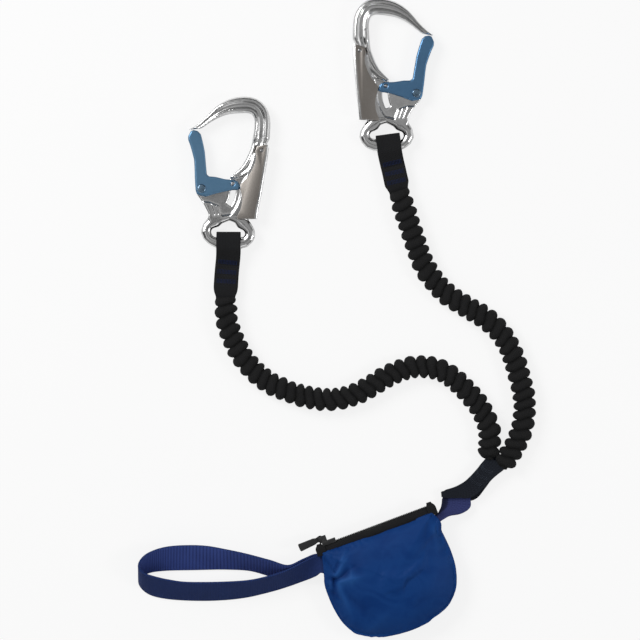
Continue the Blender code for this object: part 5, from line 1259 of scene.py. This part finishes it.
# one round nylon turn for each pitch, the two rows half a pitch apart
def buildCoil(label, side, materials):
    plan = zipPlan
    form = bmesh.new()
    turns = int(zipRun() / plan["coilPitch"])
    middle = side * (plan["chainGap"] / 2 + plan["chainDepth"] / 2)
    ahead = (zipSpot(1.0, 0.0) - zipSpot(0.0, 0.0)).normalized()
    size = Matrix.Diagonal((plan["coilPitch"] * zipCoil["turnLength"], plan["chainHeight"] / 2,
                            plan["chainDepth"] / 2, 1.0))
    tilt = Matrix.Rotation(math.radians(zipCoil["tilt"] * side), 4, "Z")
    shape = turnTo(ahead, leftOf(ahead), upwards) @ tilt @ size
    for number in range(turns):
        along = plan["coilPitch"] * (number + 0.5 + side * zipCoil["shift"])
        grown = bmesh.ops.create_uvsphere(form, u_segments=8, v_segments=7, radius=1.0)["verts"]
        shift = Matrix.Translation(zipSpot(along, 0.0, middle))
        bmesh.ops.transform(form, matrix=shift @ shape, verts=grown)
    # the cord that the turns are sewn over
    length = turns * plan["coilPitch"]
    radius = zipCoil["cordRadius"]
    cord = bmesh.ops.create_cone(form, segments=10, radius1=radius, radius2=radius, depth=length,
                                 cap_ends=True)
    aside = middle + side * zipCoil["cordAside"]
    shift = Matrix.Translation(zipSpot(length / 2, -plan["chainHeight"] / 4, aside))
    bmesh.ops.transform(form, matrix=shift @ turnTo(upwards, leftOf(ahead), ahead), verts=cord["verts"])
    bmesh.ops.recalc_face_normals(form, faces=form.faces)
    addPiece("zipCoil" + label.title(), form, materials["zipPlastic"], stands=("zip_chain_" + label,))


# at both ends the tape is folded back over the chain, rounded off at its corners
def buildFold(end, materials):
    fold = zipFolds[end]
    near, far = tapeHeights()
    over = zipPlan["chainHeight"] / 2 + fold["proud"]
    lap = over + zipPlan["tapeWidth"] + zipPlan["tapeLap"]
    shoulder = zipFolds["shoulderShares"]
    profile = [(-lap, far + zipFolds["lapLift"]), (-over - zipFolds["kneeReach"], far + zipFolds["kneeLift"]),
               (-over * zipFolds["sideShare"], near + zipFolds["sideLift"]),
               (over * shoulder[0], near * shoulder[1]), (over + zipFolds["topReach"], 0.0)]
    profile += [(out, -height) for out, height in profile[-2::-1]]
    base = 0.0 if end == "left" else zipRun()
    rows = []
    for out, height in profile:
        inset = fold["round"] * clamp((out + over) / (2 * over)) ** 2
        rows.append((zipSpot(base + fold["from"] + inset * fold["outerRound"], out, height),
                     zipSpot(base + fold["to"] - inset, out, height)))
    buildStrap("zipFold" + end.title(), rows, zipFolds["thickness"], materials["zipTape"], (),
               (60, 22), ripple=zipFolds["ripple"], seed=3.0)


# thread along the seam where the tape is sewn to the cloth
def buildSeamThread(materials):
    plan = seamThread
    surface = tapeHeights()[1] + zipPlan["tapeLift"] + zipPlan["tapeThickness"] / 2 + plan["height"]
    lines = []
    for offset in plan["offsets"]:
        shares = [plan["first"] + plan["reach"] * k / (plan["points"] - 1) for k in range(plan["points"])]
        lines.append(([zipSpot(zipRun() * share, offset - tapeDrop(), surface + plan["slope"] * offset)
                       for share in shares], upwards))
    buildStitches("zipSeamThread", lines, materials["zipTape"], plan["pitch"], plan["radius"],
                  rise=plan["rise"])


def buildZip(materials):
    for label, side in (("front", 1), ("back", -1)):
        buildTape(label, side, materials)
        buildCoil(label, side, materials)
    for end in ("left", "right"):
        buildFold(end, materials)
    for node, part in zipParts.items():
        piece = addPiece(camelCase(node), solidForm(node), materials["zipPlastic"], body=part["body"],
                         stands=(node,), smoothAngle=30)
        breakCorners(piece, part["corner"], 30, smoothAngle=45)
    buildSeamThread(materials)
    print("zip fitted")


# The tear webbing, folded to and fro inside the pouch.
tearPack = {"start": (356.0, 580.0), "end": (425.0, 551.0), "plies": 5, "width": 0.024, "thickness": 0.0024,
            "pitch": 0.0027, "shares": (0.0, 0.06, 0.3, 0.5, 0.7, 0.94, 1.0), "bendAngles": (-45, 0, 45)}


def buildTearPack(materials):
    plan = tearPack
    ends = [spot(*plan["start"]), spot(*plan["end"])]
    half = leftOf((ends[1] - ends[0]).normalized()) * plan["width"] / 2
    low = layout["seamHeight"] - plan["pitch"] * (plan["plies"] - 1) / 2
    centres = []
    for ply in range(plan["plies"]):
        height = low + plan["pitch"] * ply
        centres += [ends[0].lerp(ends[1], share) + upwards * height for share in plan["shares"]]
        if ply < plan["plies"] - 1:
            out = (ends[1] - ends[0]).normalized() * plan["pitch"] / 2
            for angle in map(math.radians, plan["bendAngles"]):
                bend = plan["pitch"] / 2 * (1 + math.sin(angle))
                centres.append(ends[1] + out * math.cos(angle) + upwards * (height + bend))
        ends.reverse()
    rows = [(centre - half, centre + half) for centre in centres]
    buildStrap("tearWebbing", rows, plan["thickness"], materials["linkViolet"], ("absorber_webbing",),
               (420, 10))
    print("tear webbing folded")


buildStudio()
materials = buildMaterials()
for side in ("left", "right"):
    buildArm(side, materials)
for side in ("left", "right"):
    buildKarabiner(side, materials)
    buildEndLoop(side, materials)
buildLinks(materials)
buildTieIn(materials)
buildPouch(materials)
buildZip(materials)
buildTearPack(materials)
